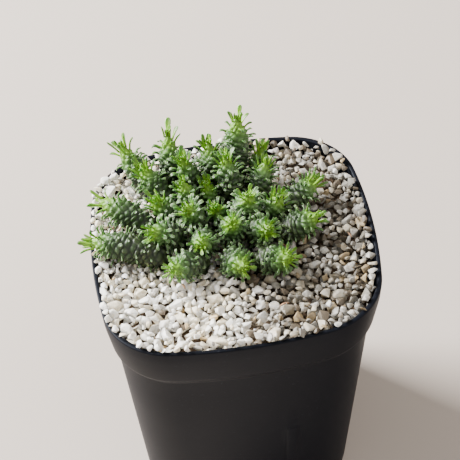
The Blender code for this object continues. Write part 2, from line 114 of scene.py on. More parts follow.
class Shade:
    """A shader socket that takes part in sums: each operation adds its Math node."""

    def __init__(self, recipe: "Recipe", socket: bpy.types.NodeSocket) -> None:
        """Wraps a socket of a recipe's node."""
        self.recipe = recipe
        self.socket = socket

    def __add__(self, other: "Shade | float") -> "Shade":
        """self + other."""
        return self.recipe.number("ADD", self, other)

    def __radd__(self, other: float) -> "Shade":
        """other + self."""
        return self.recipe.number("ADD", other, self)

    def __sub__(self, other: "Shade | float") -> "Shade":
        """self - other."""
        return self.recipe.number("SUBTRACT", self, other)

    def __rsub__(self, other: float) -> "Shade":
        """other - self."""
        return self.recipe.number("SUBTRACT", other, self)

    def __mul__(self, other: "Shade | float") -> "Shade":
        """self * other."""
        return self.recipe.number("MULTIPLY", self, other)

    def __rmul__(self, other: float) -> "Shade":
        """other * self."""
        return self.recipe.number("MULTIPLY", other, self)

    def __pow__(self, other: float) -> "Shade":
        """self to the power other."""
        return self.recipe.number("POWER", self, other)

    def between(self, low: float, high: float) -> "Shade":
        """Rises smoothly from 0 at low to 1 at high.

        Args:
            low: The value that gives 0.
            high: The value that gives 1.

        Returns:
            The eased share.
        """
        settings = {"interpolation_type": "SMOOTHSTEP"}
        sockets = {"Value": self, "From Min": low, "From Max": high}
        return self.recipe.add("ShaderNodeMapRange", "Result", settings, sockets)


class Recipe:
    """The nodes of one material, added one by one."""

    def __init__(self, name: str) -> None:
        """Makes a material with a Principled shader."""
        self.material = bpy.data.materials.new(name)
        self.material.use_nodes = True
        self.tree = self.material.node_tree
        self.shader = self.tree.nodes["Principled BSDF"]

    def feed(self, socket: bpy.types.NodeSocket, value: Shade | float | Sequence[float]) -> None:
        """Links or sets one input socket.

        Args:
            socket: The input.
            value: What it gets: another node's output, a number, a vector or a colour.
        """
        if isinstance(value, Shade):
            self.tree.links.new(value.socket, socket)
        elif socket.type == "RGBA":
            socket.default_value = (*value, 1.0)
        else:
            socket.default_value = value

    def add(self, kind: str, output: str | int, settings: Mapping[str, object],
            sockets: Mapping[str | int, object]) -> Shade:
        """Adds one node.

        Args:
            kind: The node's type.
            output: The output that is read, by name or number.
            settings: Its own settings, set first. "stops" are a ramp's places and colours.
            sockets: The value or link of each input, by name or number.

        Returns:
            The output.
        """
        node = self.tree.nodes.new(kind)
        for name, value in settings.items():
            if name == "stops":
                self.set_stops(node.color_ramp, value)
            else:
                setattr(node, name, value)
        for name, value in sockets.items():
            self.feed(node.inputs[name], value)
        return Shade(self, node.outputs[output])

    @staticmethod
    def set_stops(ramp: bpy.types.ColorRamp, stops: Sequence[tuple[float, Colour]]) -> None:
        """Gives a colour ramp its stops.

        Args:
            ramp: The ramp.
            stops: The place and colour of each stop, lowest first.
        """
        while len(ramp.elements) < len(stops):
            ramp.elements.new(1.0)
        for element, (place, colour) in zip(ramp.elements, stops):
            element.position = place
            element.color = (*colour, 1.0)

    def number(self, operation: str, first: Shade | float, second: Shade | float) -> Shade:
        """One Math node on two numbers."""
        return self.add("ShaderNodeMath", 0, {"operation": operation}, {0: first, 1: second})

    def mix(self, share: Shade | float, first: Shade | Colour, second: Shade | Colour) -> Shade:
        """Mixes two colours.

        Args:
            share: How much of the second colour shows.
            first: The colour at 0.
            second: The colour at 1.

        Returns:
            The mixed colour.
        """
        settings = {"data_type": "RGBA", "clamp_factor": True}
        return self.add("ShaderNodeMix", 2, settings, {0: share, 6: first, 7: second})

    def ramp(self, place: Shade, stops: Sequence[tuple[float, Colour]]) -> Shade:
        """A colour read off a ramp at a place from 0 to 1."""
        return self.add("ShaderNodeValToRGB", "Color", {"stops": stops}, {"Fac": place})

    def mark(self, name: str) -> Shade:
        """A number that the mesh carries at its points."""
        return self.add("ShaderNodeAttribute", "Fac", {"attribute_name": name}, {})

    def place(self, stretch: Sequence[float] = (1, 1, 1)) -> Shade:
        """The place on the object, in metres.

        Args:
            stretch: How far it is stretched along each axis.

        Returns:
            The stretched place.
        """
        where = self.add("ShaderNodeTexCoord", "Object", {}, {})
        return self.add("ShaderNodeVectorMath", "Vector", {"operation": "MULTIPLY"}, {0: where, 1: stretch})

    def noise(self, size: float, detail: float = 3.0, stretch: Sequence[float] = (1, 1, 1)) -> Shade:
        """Cloudy noise from 0 to 1.

        Args:
            size: The width of its patches, in metres.
            detail: How much finer noise is added.
            stretch: How much closer together the patches lie along each axis.

        Returns:
            The noise.
        """
        sockets = {"Vector": self.place(stretch), "Scale": 1 / size, "Detail": detail}
        return self.add("ShaderNodeTexNoise", "Fac", {}, sockets)

    def bump(self, height: Shade, depth: float) -> Shade:
        """A normal that is dented by a height from 0 to 1, over a depth in metres."""
        sockets = {"Height": height, "Distance": depth, "Strength": 1.0}
        return self.add("ShaderNodeBump", "Normal", {}, sockets)

    def finish(self, sockets: Mapping[str, object]) -> bpy.types.Material:
        """Feeds the Principled shader.

        Args:
            sockets: The value or link of each of its inputs, by name.

        Returns:
            The finished material.
        """
        for name, value in sockets.items():
            self.feed(self.shader.inputs[name], value)
        return self.material


@dataclass(frozen=True)
class PotPlastic:
    """Black satin plastic with a little dust and scuffing."""

    plastic: Colour = tone(8, 10, 17)
    dust: Colour = tone(64, 66, 72)
    sheen_tint: Colour = (0.84, 0.9, 1.0)
    gloss: float = 0.095
    roughness: float = 0.42
    cloud_size: float = 0.03
    speck_size: float = 0.0012
    scuff_size: float = 0.004
    grain_size: float = 0.0006
    grain_depth: float = 0.00002

    def material(self) -> bpy.types.Material:
        """Makes the material.

        Returns:
            The material with its nodes.
        """
        recipe = Recipe("pot_plastic")
        cloud = recipe.noise(self.cloud_size, 4)
        specks = recipe.noise(self.speck_size, 2).between(0.66, 0.74)
        scuffs = recipe.noise(self.scuff_size, 3, (1, 1, 6)).between(0.62, 0.8)
        grain = recipe.noise(self.grain_size, 2)
        dusty = (specks * 0.35 + scuffs * 0.12 + cloud * 0.05) * 0.6
        return recipe.finish({
            "Base Color": recipe.mix(dusty, self.plastic, self.dust),
            "Roughness": self.roughness + cloud * 0.1 + dusty * 0.5,
            "Normal": recipe.bump(grain, self.grain_depth),
            "Specular IOR Level": self.gloss,
            "Specular Tint": self.sheen_tint,
        })


@dataclass(frozen=True)
class Crumb:
    """Crumbly earth: dark lumps with paler grit between them."""

    name: str
    dark: Colour
    pale: Colour
    grain: float
    grit_share: float = 0.25
    depth: float = 0.0006

    def material(self) -> bpy.types.Material:
        """Makes the material.

        Returns:
            The material with its nodes.
        """
        recipe = Recipe(self.name)
        lumps = recipe.noise(self.grain, 5)
        grit = recipe.noise(self.grain * self.grit_share, 2).between(0.58, 0.7)
        return recipe.finish({
            "Base Color": recipe.mix(lumps.between(0.35, 0.75) + grit * 0.3, self.dark, self.pale),
            "Roughness": 0.95,
            "Normal": recipe.bump(lumps + grit * 0.4, self.depth),
            "Specular IOR Level": 0.2,
        })


@dataclass(frozen=True)
class StoneFinish:
    """Broken quartz gravel of one kind, each stone with its own shade, and darker by its age mark, partly
    from earth and partly from painted shade.
    """

    name: str
    body: Colour
    shade: Colour
    stain: Colour
    dirt_and_shade: Colour = tone(60, 55, 42)
    stained: float = 0.4
    cloud_size: float = 0.0016
    rust_size: float = 0.0013
    pit_size: float = 0.0005
    pit_depth: float = 0.0001
    glow_depth: float = 0.001

    def material(self) -> bpy.types.Material:
        """Makes the material.

        Returns:
            The material with its nodes.
        """
        recipe = Recipe(self.name)
        own = recipe.mark("own")
        cloud = recipe.noise(self.cloud_size, 3)
        rust = recipe.noise(self.rust_size, 4).between(0.5, 0.72)
        body = recipe.mix(own * 0.6 + cloud.between(0.3, 0.7) * 0.4, self.body, self.shade)
        # Partly painted shade: the age mark holds each stone's level of earth and shade, and darkens it
        # towards a dirt tone that also stands in for the stems' shadow.
        body = recipe.mix(recipe.mark("age") * (0.65 + cloud * 0.35), body, self.dirt_and_shade)
        return recipe.finish({
            "Base Color": recipe.mix(rust * self.stained, body, self.stain),
            "Roughness": 0.38 + cloud * 0.3,
            "Normal": recipe.bump(recipe.noise(self.pit_size, 3), self.pit_depth),
            "Specular IOR Level": 0.5,
            "Subsurface Weight": 0.3,
            "Subsurface Radius": (1.0, 0.9, 0.75),
            "Subsurface Scale": self.glow_depth,
        })


@dataclass(frozen=True)
class StemTissue:
    """The skin of the stems: fresh green at the tip, grey green lower down, olive and corky at the foot, with
    painted shade in the valleys between tubercles and bloom with a painted highlight on their crests.
    """

    fresh: Colour = tone(102, 146, 28)
    neck: Colour = tone(74, 114, 42)
    green: Colour = tone(36, 62, 26)
    bloom_and_highlight: Colour = tone(100, 130, 84)
    valley_shade: Colour = tone(12, 18, 8)
    old: Colour = tone(34, 47, 20)
    cork: Colour = tone(78, 86, 50)
    scar: Colour = tone(168, 160, 138)
    cloud_size: float = 0.0022
    grain_size: float = 0.0004
    grain_depth: float = 0.00004
    glow_depth: float = 0.0012

    def material(self) -> bpy.types.Material:
        """Makes the material.

        Returns:
            The material with its nodes.
        """
        recipe = Recipe("stem_tissue")
        age = recipe.mark("age")
        crest = recipe.mark("crest")
        own = recipe.mark("own")
        cloud = recipe.noise(self.cloud_size, 3)
        stops = ((0.0, self.fresh), (0.13, self.fresh), (0.24, self.neck), (0.4, self.green), (0.9, self.old))
        skin = recipe.ramp(age, stops)
        grown = age.between(0.13, 0.28) * (1 - age.between(0.4, 0.8) * 0.65)
        # Partly the real waxy bloom and partly a painted highlight: the tubercle crests are lightened as if
        # they catch the light.
        wax_and_highlight = (crest ** 1.5) * (0.1 + cloud * 0.4) * grown
        skin = recipe.mix(wax_and_highlight, skin, self.bloom_and_highlight)
        skin = recipe.mix(own * age.between(0.3, 0.6) * 0.35, skin, self.cork)
        # Painted shade: the valleys between tubercles are darkened, more so lower down the stem.
        valley_shade_share = (1 - crest.between(0.0, 0.6)) * (0.25 + age.between(0.25, 0.7) * 0.5)
        skin = recipe.mix(valley_shade_share, skin, self.valley_shade)
        corky = age.between(0.6, 1.0) * cloud.between(0.45, 0.7) * 0.3
        skin = recipe.mix(corky, skin, self.cork)
        scarred = crest.between(0.93, 0.99) * age.between(0.42, 0.5) * own.between(0.3, 0.5)
        skin = recipe.mix(scarred, skin, self.scar)
        return recipe.finish({
            "Base Color": skin,
            "Roughness": 0.5 + wax_and_highlight * 0.2 + corky * 0.3,
            "Normal": recipe.bump(recipe.noise(self.grain_size, 3), self.grain_depth),
            "Specular IOR Level": 0.45,
            "Subsurface Weight": 0.2,
            "Subsurface Radius": (0.4, 0.9, 0.2),
            "Subsurface Scale": self.glow_depth,
        })


@dataclass(frozen=True)
class LeafFinish:
    """The leaves: lime at the growing point and deeper green outwards, with pale margins once grown; the dark
    tips are partly painted shade and the pale rims partly a painted highlight.
    """

    young: Colour = tone(122, 166, 30)
    grown: Colour = tone(54, 96, 32)
    old: Colour = tone(44, 74, 30)
    withered: Colour = tone(104, 92, 62)
    margin: Colour = tone(166, 182, 146)
    tip: Colour = tone(32, 66, 26)
    cloud_size: float = 0.0012
    grain_size: float = 0.0005
    grain_depth: float = 0.00003
    glow_depth: float = 0.0012

    def material(self) -> bpy.types.Material:
        """Makes the material.

        Returns:
            The material with its nodes.
        """
        recipe = Recipe("leaf_tissue")
        age = recipe.mark("age")
        edge = recipe.mark("crest")
        own = recipe.mark("own")
        reach = recipe.mark("reach")
        grown = age.between(0.12, 0.3)
        stops = ((0.0, self.young), (0.15, self.young), (0.27, self.grown), (0.55, self.old))
        blade = recipe.ramp(age + reach * 0.12, stops)
        # Darker towards the leaf tips: partly the leaves' own colour and partly painted shade on the curled
        # tips.
        blade = recipe.mix((reach ** 2.5) * (1 - age.between(0.15, 0.35)) * 0.75, blade, self.tip)
        blade = recipe.mix(recipe.noise(self.cloud_size, 3) * 0.25, blade, self.old)
        # The pale rim is partly the leaves' own pale margin and partly a painted highlight along the edge.
        rim = (edge ** 2.0) * (0.05 + grown * 0.55) * (0.2 + reach * 0.8)
        blade = recipe.mix((reach ** 4.0) * grown * 0.35, blade, self.margin)
        blade = recipe.mix(rim, blade, self.margin)
        dry = age.between(0.75, 1.0) * own.between(0.5, 0.9) * (0.35 + reach * 0.5)
        blade = recipe.mix(dry, blade, self.withered)
        return recipe.finish({
            "Base Color": blade,
            "Roughness": 0.42 + age * 0.15,
            "Normal": recipe.bump(recipe.noise(self.grain_size, 2), self.grain_depth),
            "Specular IOR Level": 0.5,
            "Subsurface Weight": 0.35,
            "Subsurface Radius": (0.5, 1.0, 0.2),
            "Subsurface Scale": self.glow_depth,
        })


@dataclass(frozen=True)
class DryScale:
    """Dried leaf and flower bits that lie among the stems."""

    pale: Colour = tone(172, 134, 100)
    dark: Colour = tone(104, 74, 52)
    cloud_size: float = 0.0014
    grain_size: float = 0.0004
    grain_depth: float = 0.00005

    def material(self) -> bpy.types.Material:
        """Makes the material.

        Returns:
            The material with its nodes.
        """
        recipe = Recipe("dry_scale")
        cloud = recipe.noise(self.cloud_size, 3)
        return recipe.finish({
            "Base Color": recipe.mix(cloud.between(0.35, 0.65), self.pale, self.dark),
            "Roughness": 0.8,
            "Normal": recipe.bump(recipe.noise(self.grain_size, 2), self.grain_depth),
        })


@dataclass(frozen=True)
class FloorPaper:
    """The plain pale floor, very faintly clouded."""

    colour: Colour = tone(177, 167, 158)
    paler: Colour = tone(196, 190, 186)
    cloud_size: float = 0.3

    def material(self) -> bpy.types.Material:
        """Makes the material.

        Returns:
            The material with its nodes.
        """
        recipe = Recipe("floor_paper")
        tint = recipe.noise(self.cloud_size, 1) * 0.04
        return recipe.finish({
            "Base Color": recipe.mix(tint, self.colour, self.paler),
            "Roughness": 0.9,
            "Specular IOR Level": 0.1,
        })


class MeshDraft:
    """Points, faces and point marks that are gathered before they become one mesh."""

    MARKS = ("age", "crest", "own", "reach")

    def __init__(self) -> None:
        """Starts with nothing."""
        self.points: list[np.ndarray] = []
        self.faces: list[Sequence[int]] = []
        self.finishes: list[int] = []
        self.marks: dict[str, list[np.ndarray]] = {name: [] for name in self.MARKS}
        self.count = 0

    def add(self, points: np.ndarray, faces: np.ndarray | Sequence[Sequence[int]], finish: int = 0,
            **marks: np.ndarray | float) -> None:
        """Adds one block of mesh.

        Args:
            points: Its points, one a row.
            faces: Its faces, numbered within the block.
            finish: The number of its material.
            **marks: The marks of its points. A mark that isn't given is 0.
        """
        faces = faces.tolist() if isinstance(faces, np.ndarray) else faces
        shifted = [[corner + self.count for corner in face] for face in faces]
        self.points.append(points)
        self.faces.extend(shifted)
        self.finishes.extend([finish] * len(shifted))
        for name in self.MARKS:
            self.marks[name].append(np.broadcast_to(np.asarray(marks.get(name, 0.0), float), len(points)))
        self.count += len(points)

    def build(self, name: str, finishes: Sequence[bpy.types.Material],
              sharp: float | None = None) -> bpy.types.Object:
        """Makes the object.

        Args:
            name: The piece's name.
            finishes: Its materials, in the order of their numbers.
            sharp: The angle above which an edge stays sharp, or None for smooth all over.

        Returns:
            The object, linked to the scene.
        """
        mesh = bpy.data.meshes.new(name)
        mesh.from_pydata(np.concatenate(self.points).tolist(), [], self.faces)
        mesh.polygons.foreach_set("material_index", self.finishes)
        for mark, blocks in self.marks.items():
            values = np.concatenate(blocks).astype(np.float32)
            if values.any():
                mesh.attributes.new(mark, "FLOAT", "POINT").data.foreach_set("value", values)
        mesh.shade_smooth()
        if sharp is not None:
            mesh.set_sharp_from_angle(angle=sharp)
        for finish in finishes:
            mesh.materials.append(finish)
        return new_object(name, mesh)


def loft_faces(rings: int, size: int) -> list[tuple[int, ...]]:
    """Lists the faces of a closed skin through rings of points, with a flat face at either end.

    Args:
        rings: How many rings there are.
        size: How many points each ring has.

    Returns:
        The faces, as the numbers of their points.
    """
    last = (rings - 1) * size
    faces = [tuple(range(size))[::-1]]
    for low in range(0, last, size):
        for i in range(size):
            j = (i + 1) % size
            faces.append((low + i, low + j, low + size + j, low + size + i))
    faces.append(tuple(range(last, last + size)))
    return faces


def settle_in(piece: bpy.types.Object, slot: str, *nodes: str) -> bpy.types.Object:
    """Ties a finished piece to the frame and reports it.

    Args:
        piece: The piece.
        slot: The name of a material slot, which is only logged.
        *nodes: The solids that it stands for.

    Returns:
        The piece.
    """
    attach(piece, BODY)
    if nodes:
        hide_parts(*nodes)
    triangles = sum(len(polygon.vertices) - 2 for polygon in piece.data.polygons)
    log.info("%s: %d triangles, slot %s", piece.name, triangles, slot)
    return piece


@dataclass
class NurseryPot:
    """The square pot with its collar, rounded lip and two upright ribs."""

    height: float = 0.112
    rim_width: float = 0.1049
    corner_radius: float = 0.027
    side_bow: float = 0.0016
    skew: float = 0.016
    collar_height: float = 0.0184
    collar_low_width: float = 0.1004
    collar_step: float = 0.002
    body_top_width: float = 0.0972
    body_taper: float = 0.17
    lip_width: float = 0.0017
    lip_round: float = 0.0007
    edge_round: float = 0.0014
    foot_round: float = 0.0016
    wall: float = 0.0012
    floor: float = 0.002
    flare: float = 0.0008
    flare_height: float = 0.006
    low_rings: tuple[float, ...] = (0.02, 0.036)
    high_rings: tuple[float, ...] = (0.065, 0.08)
    inner_ring: float = 0.05
    drain_radius: float = 0.0045
    drain_offset: float = 0.024
    rib_offset: float = 0.015
    rib_reach: float = 0.0024
    rib_proud: float = 0.0006
    rib_top: float = 0.052
    rib_end: float = 0.002
    rib_steps: int = 12
    side_steps: int = 5
    plain_side_steps: int = 9
    corner_steps: int = 18
    fillet_steps: int = 5
    drain_steps: int = 32
    sharp_angle: float = math.radians(40)

    @property
    def collar_low(self) -> float:
        """Height of the collar's lower edge."""
        return self.height - self.collar_height

    @property
    def body_top(self) -> float:
        """Height at which the tapered body meets the step up to the collar."""
        return self.collar_low - self.collar_step

    def width_at(self, z: float) -> float:
        """Outer width of the tapered body at a height."""
        return self.body_top_width - self.body_taper * (self.body_top - z)

    def inner_width_at(self, z: float) -> float:
        """Inner width at a height.

        Args:
            z: The height, from the floor up to the lip.

        Returns:
            The width.
        """
        heights = (self.floor, self.body_top, self.collar_low, self.height)
        outer = (self.width_at(self.floor), self.body_top_width, self.collar_low_width, self.rim_width)
        walls = (self.wall, self.wall, self.wall, self.lip_width)
        return float(np.interp(z, heights, [w - 2 * wall for w, wall in zip(outer, walls)]))

    def ring(self, width: float, z: float, ribbed: bool = False) -> np.ndarray:
        """One level ring of points, anticlockwise from above, with bowed sides and round corners.

        Args:
            width: The width between the sides, without their bow.
            z: The height.
            ribbed: Whether the ring carries the two ribs.

        Returns:
            The points, one a row.
        """
        reach = width / 2 + self.side_bow
        corner = self.corner_radius * width / self.rim_width
        straight = width / 2 - corner
        side = (straight**2 + self.side_bow**2) / (2 * self.side_bow)
        middle = (reach - side + math.sqrt(2 * (side - corner) ** 2 - (side - reach) ** 2)) / 2
        meet = math.atan2(middle, middle + side - reach)
        end = side * math.sin(meet)
        rib_low, rib_high = self.rib_offset - self.rib_reach, self.rib_offset + self.rib_reach
        first = np.concatenate([
            np.linspace(0, rib_low, self.side_steps, endpoint=False),
            np.linspace(rib_low, rib_high, self.rib_steps + 1),
            np.linspace(rib_high, end, self.side_steps)[1:-1],
        ])
        last = np.linspace(end, 0, self.plain_side_steps, endpoint=False)
        proud = np.zeros(len(first))
        if ribbed:
            hump = np.clip(1 - ((first - self.rib_offset) / self.rib_reach) ** 2, 0, 1)
            proud = self.rib_proud * np.sqrt(hump) * min(1, (self.rib_top - z) / self.rib_end)
        turns = np.linspace(meet, math.pi / 2 - meet, self.corner_steps, endpoint=False)
        far = reach - side + np.sqrt(side**2 - last**2)
        y = np.concatenate([first, middle + corner * np.sin(turns), far])
        points = []
        for quarter in range(4):
            out = reach - side + np.sqrt(side**2 - first**2) + (proud if quarter % 2 else 0)
            x = np.concatenate([out, middle + corner * np.cos(turns), last])
            c, s = (1, 0, -1, 0)[quarter], (0, 1, 0, -1)[quarter]
            points.append(np.column_stack([x * c - y * s, x * s + y * c]))
        flat = np.concatenate(points)
        skewed = flat + self.skew * flat[:, ::-1]
        return np.column_stack([skewed, np.full(len(flat), z)])

    def rounded(self, corners: Sequence[tuple[float, float, float]]) -> list[tuple[float, float]]:
        """Rounds the corners of a profile.

        Args:
            corners: Width, height and rounding of each corner. The first and last aren't rounded.

        Returns:
            The profile's widths and heights.
        """
        profile = [corners[0][:2]]
        for before, corner, after in zip(corners, corners[1:], corners[2:]):
            here = Vector((corner[0] / 2, corner[1]))
            back = (Vector((before[0] / 2, before[1])) - here).normalized()
            on = (Vector((after[0] / 2, after[1])) - here).normalized()
            if corner[2] == 0:
                profile.append(corner[:2])
                continue
            for step in range(self.fillet_steps + 1):
                t = step / self.fillet_steps
                point = here + back * corner[2] * (1 - t) ** 2 + on * corner[2] * t**2
                profile.append((2 * point.x, point.y))
        profile.append(corners[-1][:2])
        return profile

    def outer_profile(self) -> list[tuple[float, float]]:
        """Runs up the outside of the pot, over the lip and down to the collar's lower edge.

        Returns:
            Widths and heights, with rings where the ribs end.
        """
        foot = 5 * self.foot_round
        body = [foot, *self.low_rings, self.rib_top - self.rib_end]
        body += [self.rib_top - self.rib_end / 2, self.rib_top, *self.high_rings]
        corners = [(self.width_at(0) - foot, 0.0, 0.0), (self.width_at(0), 0.0, self.foot_round)]
        corners += [(self.width_at(z), z, 0.0) for z in body]
        corners += [
            (self.body_top_width, self.body_top, self.edge_round),
            (self.collar_low_width, self.collar_low, self.edge_round),
            (self.rim_width - self.flare, self.height - self.flare_height, 0.0),
            (self.rim_width, self.height, self.lip_round),
            (self.rim_width - 2 * self.lip_width, self.height, self.lip_round),
        ]
        return self.rounded([*corners, (self.inner_width_at(self.collar_low), self.collar_low, 0.0)])

    def build(self, finish: bpy.types.Material) -> bpy.types.Object:
        """Builds the pot, with its drain holes, and fits it to the frame.

        Args:
            finish: Its material.

        Returns:
            The piece.
        """
        outer = self.outer_profile()
        heights = (self.body_top, self.inner_ring, self.floor + self.foot_round)
        inner = [(self.inner_width_at(z), z) for z in heights]
        inner += [(self.inner_width_at(self.floor) - self.foot_round, self.floor)]
        rings = [self.ring(width, z, self.foot_round < z <= self.rib_top) for width, z in outer]
        rings += [self.ring(width, z) for width, z in inner]
        draft = MeshDraft()
        draft.add(np.concatenate(rings), loft_faces(len(rings), len(rings[0])))
        pot = draft.build("nursery_pot", [finish])
        self.pierce(pot)
        pot.data.shade_smooth()
        pot.data.set_sharp_from_angle(angle=self.sharp_angle)
        return settle_in(pot, "pot", "pot")

    def pierce(self, pot: bpy.types.Object) -> None:
        """Cuts the drain holes through the floor.

        Args:
            pot: The pot, still whole.
        """
        cutter_mesh = bmesh.new()
        for x in (-self.drain_offset, self.drain_offset):
            for y in (-self.drain_offset, self.drain_offset):
                bmesh.ops.create_cone(
                    cutter_mesh, cap_ends=True, segments=self.drain_steps, radius1=self.drain_radius,
                    radius2=self.drain_radius, depth=4 * self.floor,
                    matrix=Matrix.Translation((x, y, self.floor / 2)),
                )
        mesh = bpy.data.meshes.new("drains")
        cutter_mesh.to_mesh(mesh)
        cutter_mesh.free()
        cutter = new_object("drains", mesh)
        cut = pot.modifiers.new("drains", "BOOLEAN")
        cut.object = cutter
        cut.operation = "DIFFERENCE"
        graph = bpy.context.evaluated_depsgraph_get()
        whole = pot.data
        pot.data = bpy.data.meshes.new_from_object(pot.evaluated_get(graph))
        pot.modifiers.clear()
        bpy.data.meshes.remove(whole)
        bpy.data.objects.remove(cutter)
        bpy.data.meshes.remove(mesh)


@dataclass(frozen=True)
class Shoot:
    """One stem's place and habit.

    It leaves the gravel at root, and its growing tip is at x, y and a height over the stones. Its upper
    end bends over by lean and rise, which are shares of its way across and up. Girth scales its
    thickness, and tuft its young leaves.
    """

    root: tuple[float, float]
    tip: tuple[float, float, float]
    lean: float = 0.5
    rise: float = 0.5
    girth: float = 1.0
    tuft: float = 1.0


# The stems from the back row forwards.
SHOOTS = (
    Shoot((-0.029, 0.031), (-0.0375, 0.039, 0.0215), girth=0.95, tuft=1.3),
    Shoot((-0.023, 0.023), (-0.031, 0.029, 0.018), tuft=1.1),
    Shoot((-0.019, 0.034), (-0.019, 0.041, 0.0225), girth=0.95, tuft=1.35),
    Shoot((-0.012, 0.027), (-0.015, 0.027, 0.022), girth=0.95),
    Shoot((-0.014, 0.018), (-0.016, 0.019, 0.017), girth=0.85),
    Shoot((-0.003, 0.030), (-0.004, 0.036, 0.020), girth=0.95, tuft=1.1),
    Shoot((0.006, 0.033), (0.008, 0.038, 0.029), girth=1.05, tuft=1.3),
    Shoot((0.003, 0.021), (0.001, 0.025, 0.022)),
    Shoot((0.014, 0.028), (0.017, 0.035, 0.015), girth=0.95, tuft=1.1),
    Shoot((0.011, 0.018), (0.017, 0.025, 0.017), girth=0.90),
    Shoot((-0.006, 0.020), (-0.007, 0.020, 0.014), girth=0.75),
    Shoot((-0.029, 0.007), (-0.049, 0.019, 0.013), 0.35, 0.80, girth=1.05, tuft=1.35),
    Shoot((-0.021, 0.013), (-0.028, 0.013, 0.016)),
    Shoot((-0.012, 0.009), (-0.017, 0.003, 0.019), 0.50, 0.60),
    Shoot((-0.003, 0.010), (-0.006, 0.008, 0.014), girth=0.70),
    Shoot((0.006, 0.009), (0.007, 0.006, 0.019), girth=1.05, tuft=0.9),
    Shoot((0.015, 0.009), (0.020, 0.009, 0.013), girth=0.85),
    Shoot((0.023, 0.014), (0.0355, 0.0175, 0.011), 0.55, 0.50, girth=0.95, tuft=1.0),
    Shoot((0.019, 0.000), (0.0325, -0.002, 0.012), 0.60, 0.45, girth=1.05, tuft=0.95),
    Shoot((0.009, 0.000), (0.013, -0.010, 0.015), 0.45, 0.60, tuft=0.9),
    Shoot((0.000, 0.001), (-0.001, -0.006, 0.018), 0.50, 0.60, tuft=0.85),
    Shoot((-0.010, 0.000), (-0.014, -0.012, 0.014), 0.45, 0.60, tuft=0.85),
    Shoot((-0.021, 0.003), (-0.032, -0.004, 0.015), 0.45, 0.70, girth=1.05),
    Shoot((-0.027, -0.005), (-0.0545, 0.002, 0.0085), 0.35, 0.85, girth=1.20, tuft=1.15),
    Shoot((-0.014, -0.010), (-0.0265, -0.0205, 0.011), 0.40, 0.60, girth=1.10, tuft=0.8),
    Shoot((-0.003, -0.010), (0.0015, -0.0225, 0.010), 0.40, 0.55, girth=1.10, tuft=0.8),
    Shoot((0.009, -0.012), (0.019, -0.021, 0.011), 0.55, 0.45, girth=1.15, tuft=0.85),
)


@dataclass
class StemAxis:
    """The bent middle line of one stem and its thickness along it."""

    shoot: Shoot
    level: float
    exit_depth: float = 0.0004
    upright_start: float = 0.45
    root_radius: float = 0.003
    body_radius: float = 0.0041
    swell_length: float = 0.007
    taper_length: float = 0.0125
    tip_radius: float = 0.0002
    step: float = 0.0006
    fine_steps: int = 200
    line: np.ndarray = field(init=False)
    heading: np.ndarray = field(init=False)
    marks: np.ndarray = field(init=False)
    length: float = field(init=False)

    def __post_init__(self) -> None:
        """Works the line out from the shoot's bend."""
        start = np.array([*self.shoot.root, self.level - self.exit_depth])
        tip = np.array(self.shoot.tip) + (0, 0, self.level)
        across = np.array([tip[0] - start[0], tip[1] - start[1], 0])
        upward = np.array([0, 0, tip[2] - start[2]])
        bend = start + self.shoot.lean * across + self.shoot.rise * upward
        t = np.linspace(0, 1, self.fine_steps + 1)[:, None]
        fine = start * (1 - t) ** 3 + 3 * t * (1 - t) ** 2 * (start + self.upright_start * upward)
        fine = fine + 3 * t * t * (1 - t) * bend + t**3 * tip
        along = np.concatenate([[0], np.cumsum(np.linalg.norm(np.diff(fine, axis=0), axis=1))])
        self.length = float(along[-1])
        self.marks = np.linspace(0, self.length, int(self.length / self.step) + 1)
        self.line = read_off(self.marks, along, fine)
        self.heading = unit(np.gradient(self.line, axis=0))

    def radius(self, s: np.ndarray) -> np.ndarray:
        """The bare stem's radius, which swells above the gravel and tapers to the tip.

        Args:
            s: Lengths up the stem.

        Returns:
            The radius at each.
        """
        swell = np.clip(s / self.swell_length, 0, 1)
        swell = swell * swell * (3 - 2 * swell)
        full = self.root_radius + (self.body_radius * self.shoot.girth - self.root_radius) * swell
        from_tip = np.clip((self.length - s) / min(self.taper_length, self.length / 2), 0, 1)
        return np.maximum(full * np.sin(math.pi / 2 * from_tip), self.tip_radius)

    def centre(self, s: np.ndarray) -> tuple[np.ndarray, np.ndarray]:
        """Points of the middle line and its directions, going straight down below the gravel.

        Args:
            s: Lengths up the stem.

        Returns:
            The points and the directions, one a row.
        """
        points = read_off(s, self.marks, self.line)
        points[:, 2] += np.minimum(s, 0)
        return points, unit(read_off(s, self.marks, self.heading))

    def skin(self, s: np.ndarray, angle: np.ndarray) -> tuple[np.ndarray, np.ndarray, np.ndarray, np.ndarray]:
        """Points of the bare stem.

        Args:
            s: Lengths up the stem.
            angle: Angles round it.

        Returns:
            The points, their outward normals, their radial directions and the stem's directions.
        """
        centre, heading = self.centre(s)
        local = np.column_stack([np.cos(angle), np.sin(angle), np.zeros(len(angle))])
        axis = np.column_stack([-heading[:, 1], heading[:, 0], np.zeros(len(s))])
        once = np.cross(axis, local)
        radial = local + once + np.cross(axis, once) / (1 + heading[:, 2:3])
        half = self.step / 2
        slope = (self.radius(s + half) - self.radius(s - half)) / self.step
        normal = unit(radial - heading * slope[:, None])
        return centre + radial * self.radius(s)[:, None], normal, radial, heading


# Points round a leaf's section: across in half widths, up the channel, and down through the blade.
LEAF_SECTION = (
    (1, 0.35, 0), (0.55, -0.5, 0), (0, -1, 0), (-0.55, -0.5, 0), (-1, 0.35, 0),
    (-0.6, -0.9, -0.75), (0, -1, -1), (0.6, -0.9, -0.75),
)

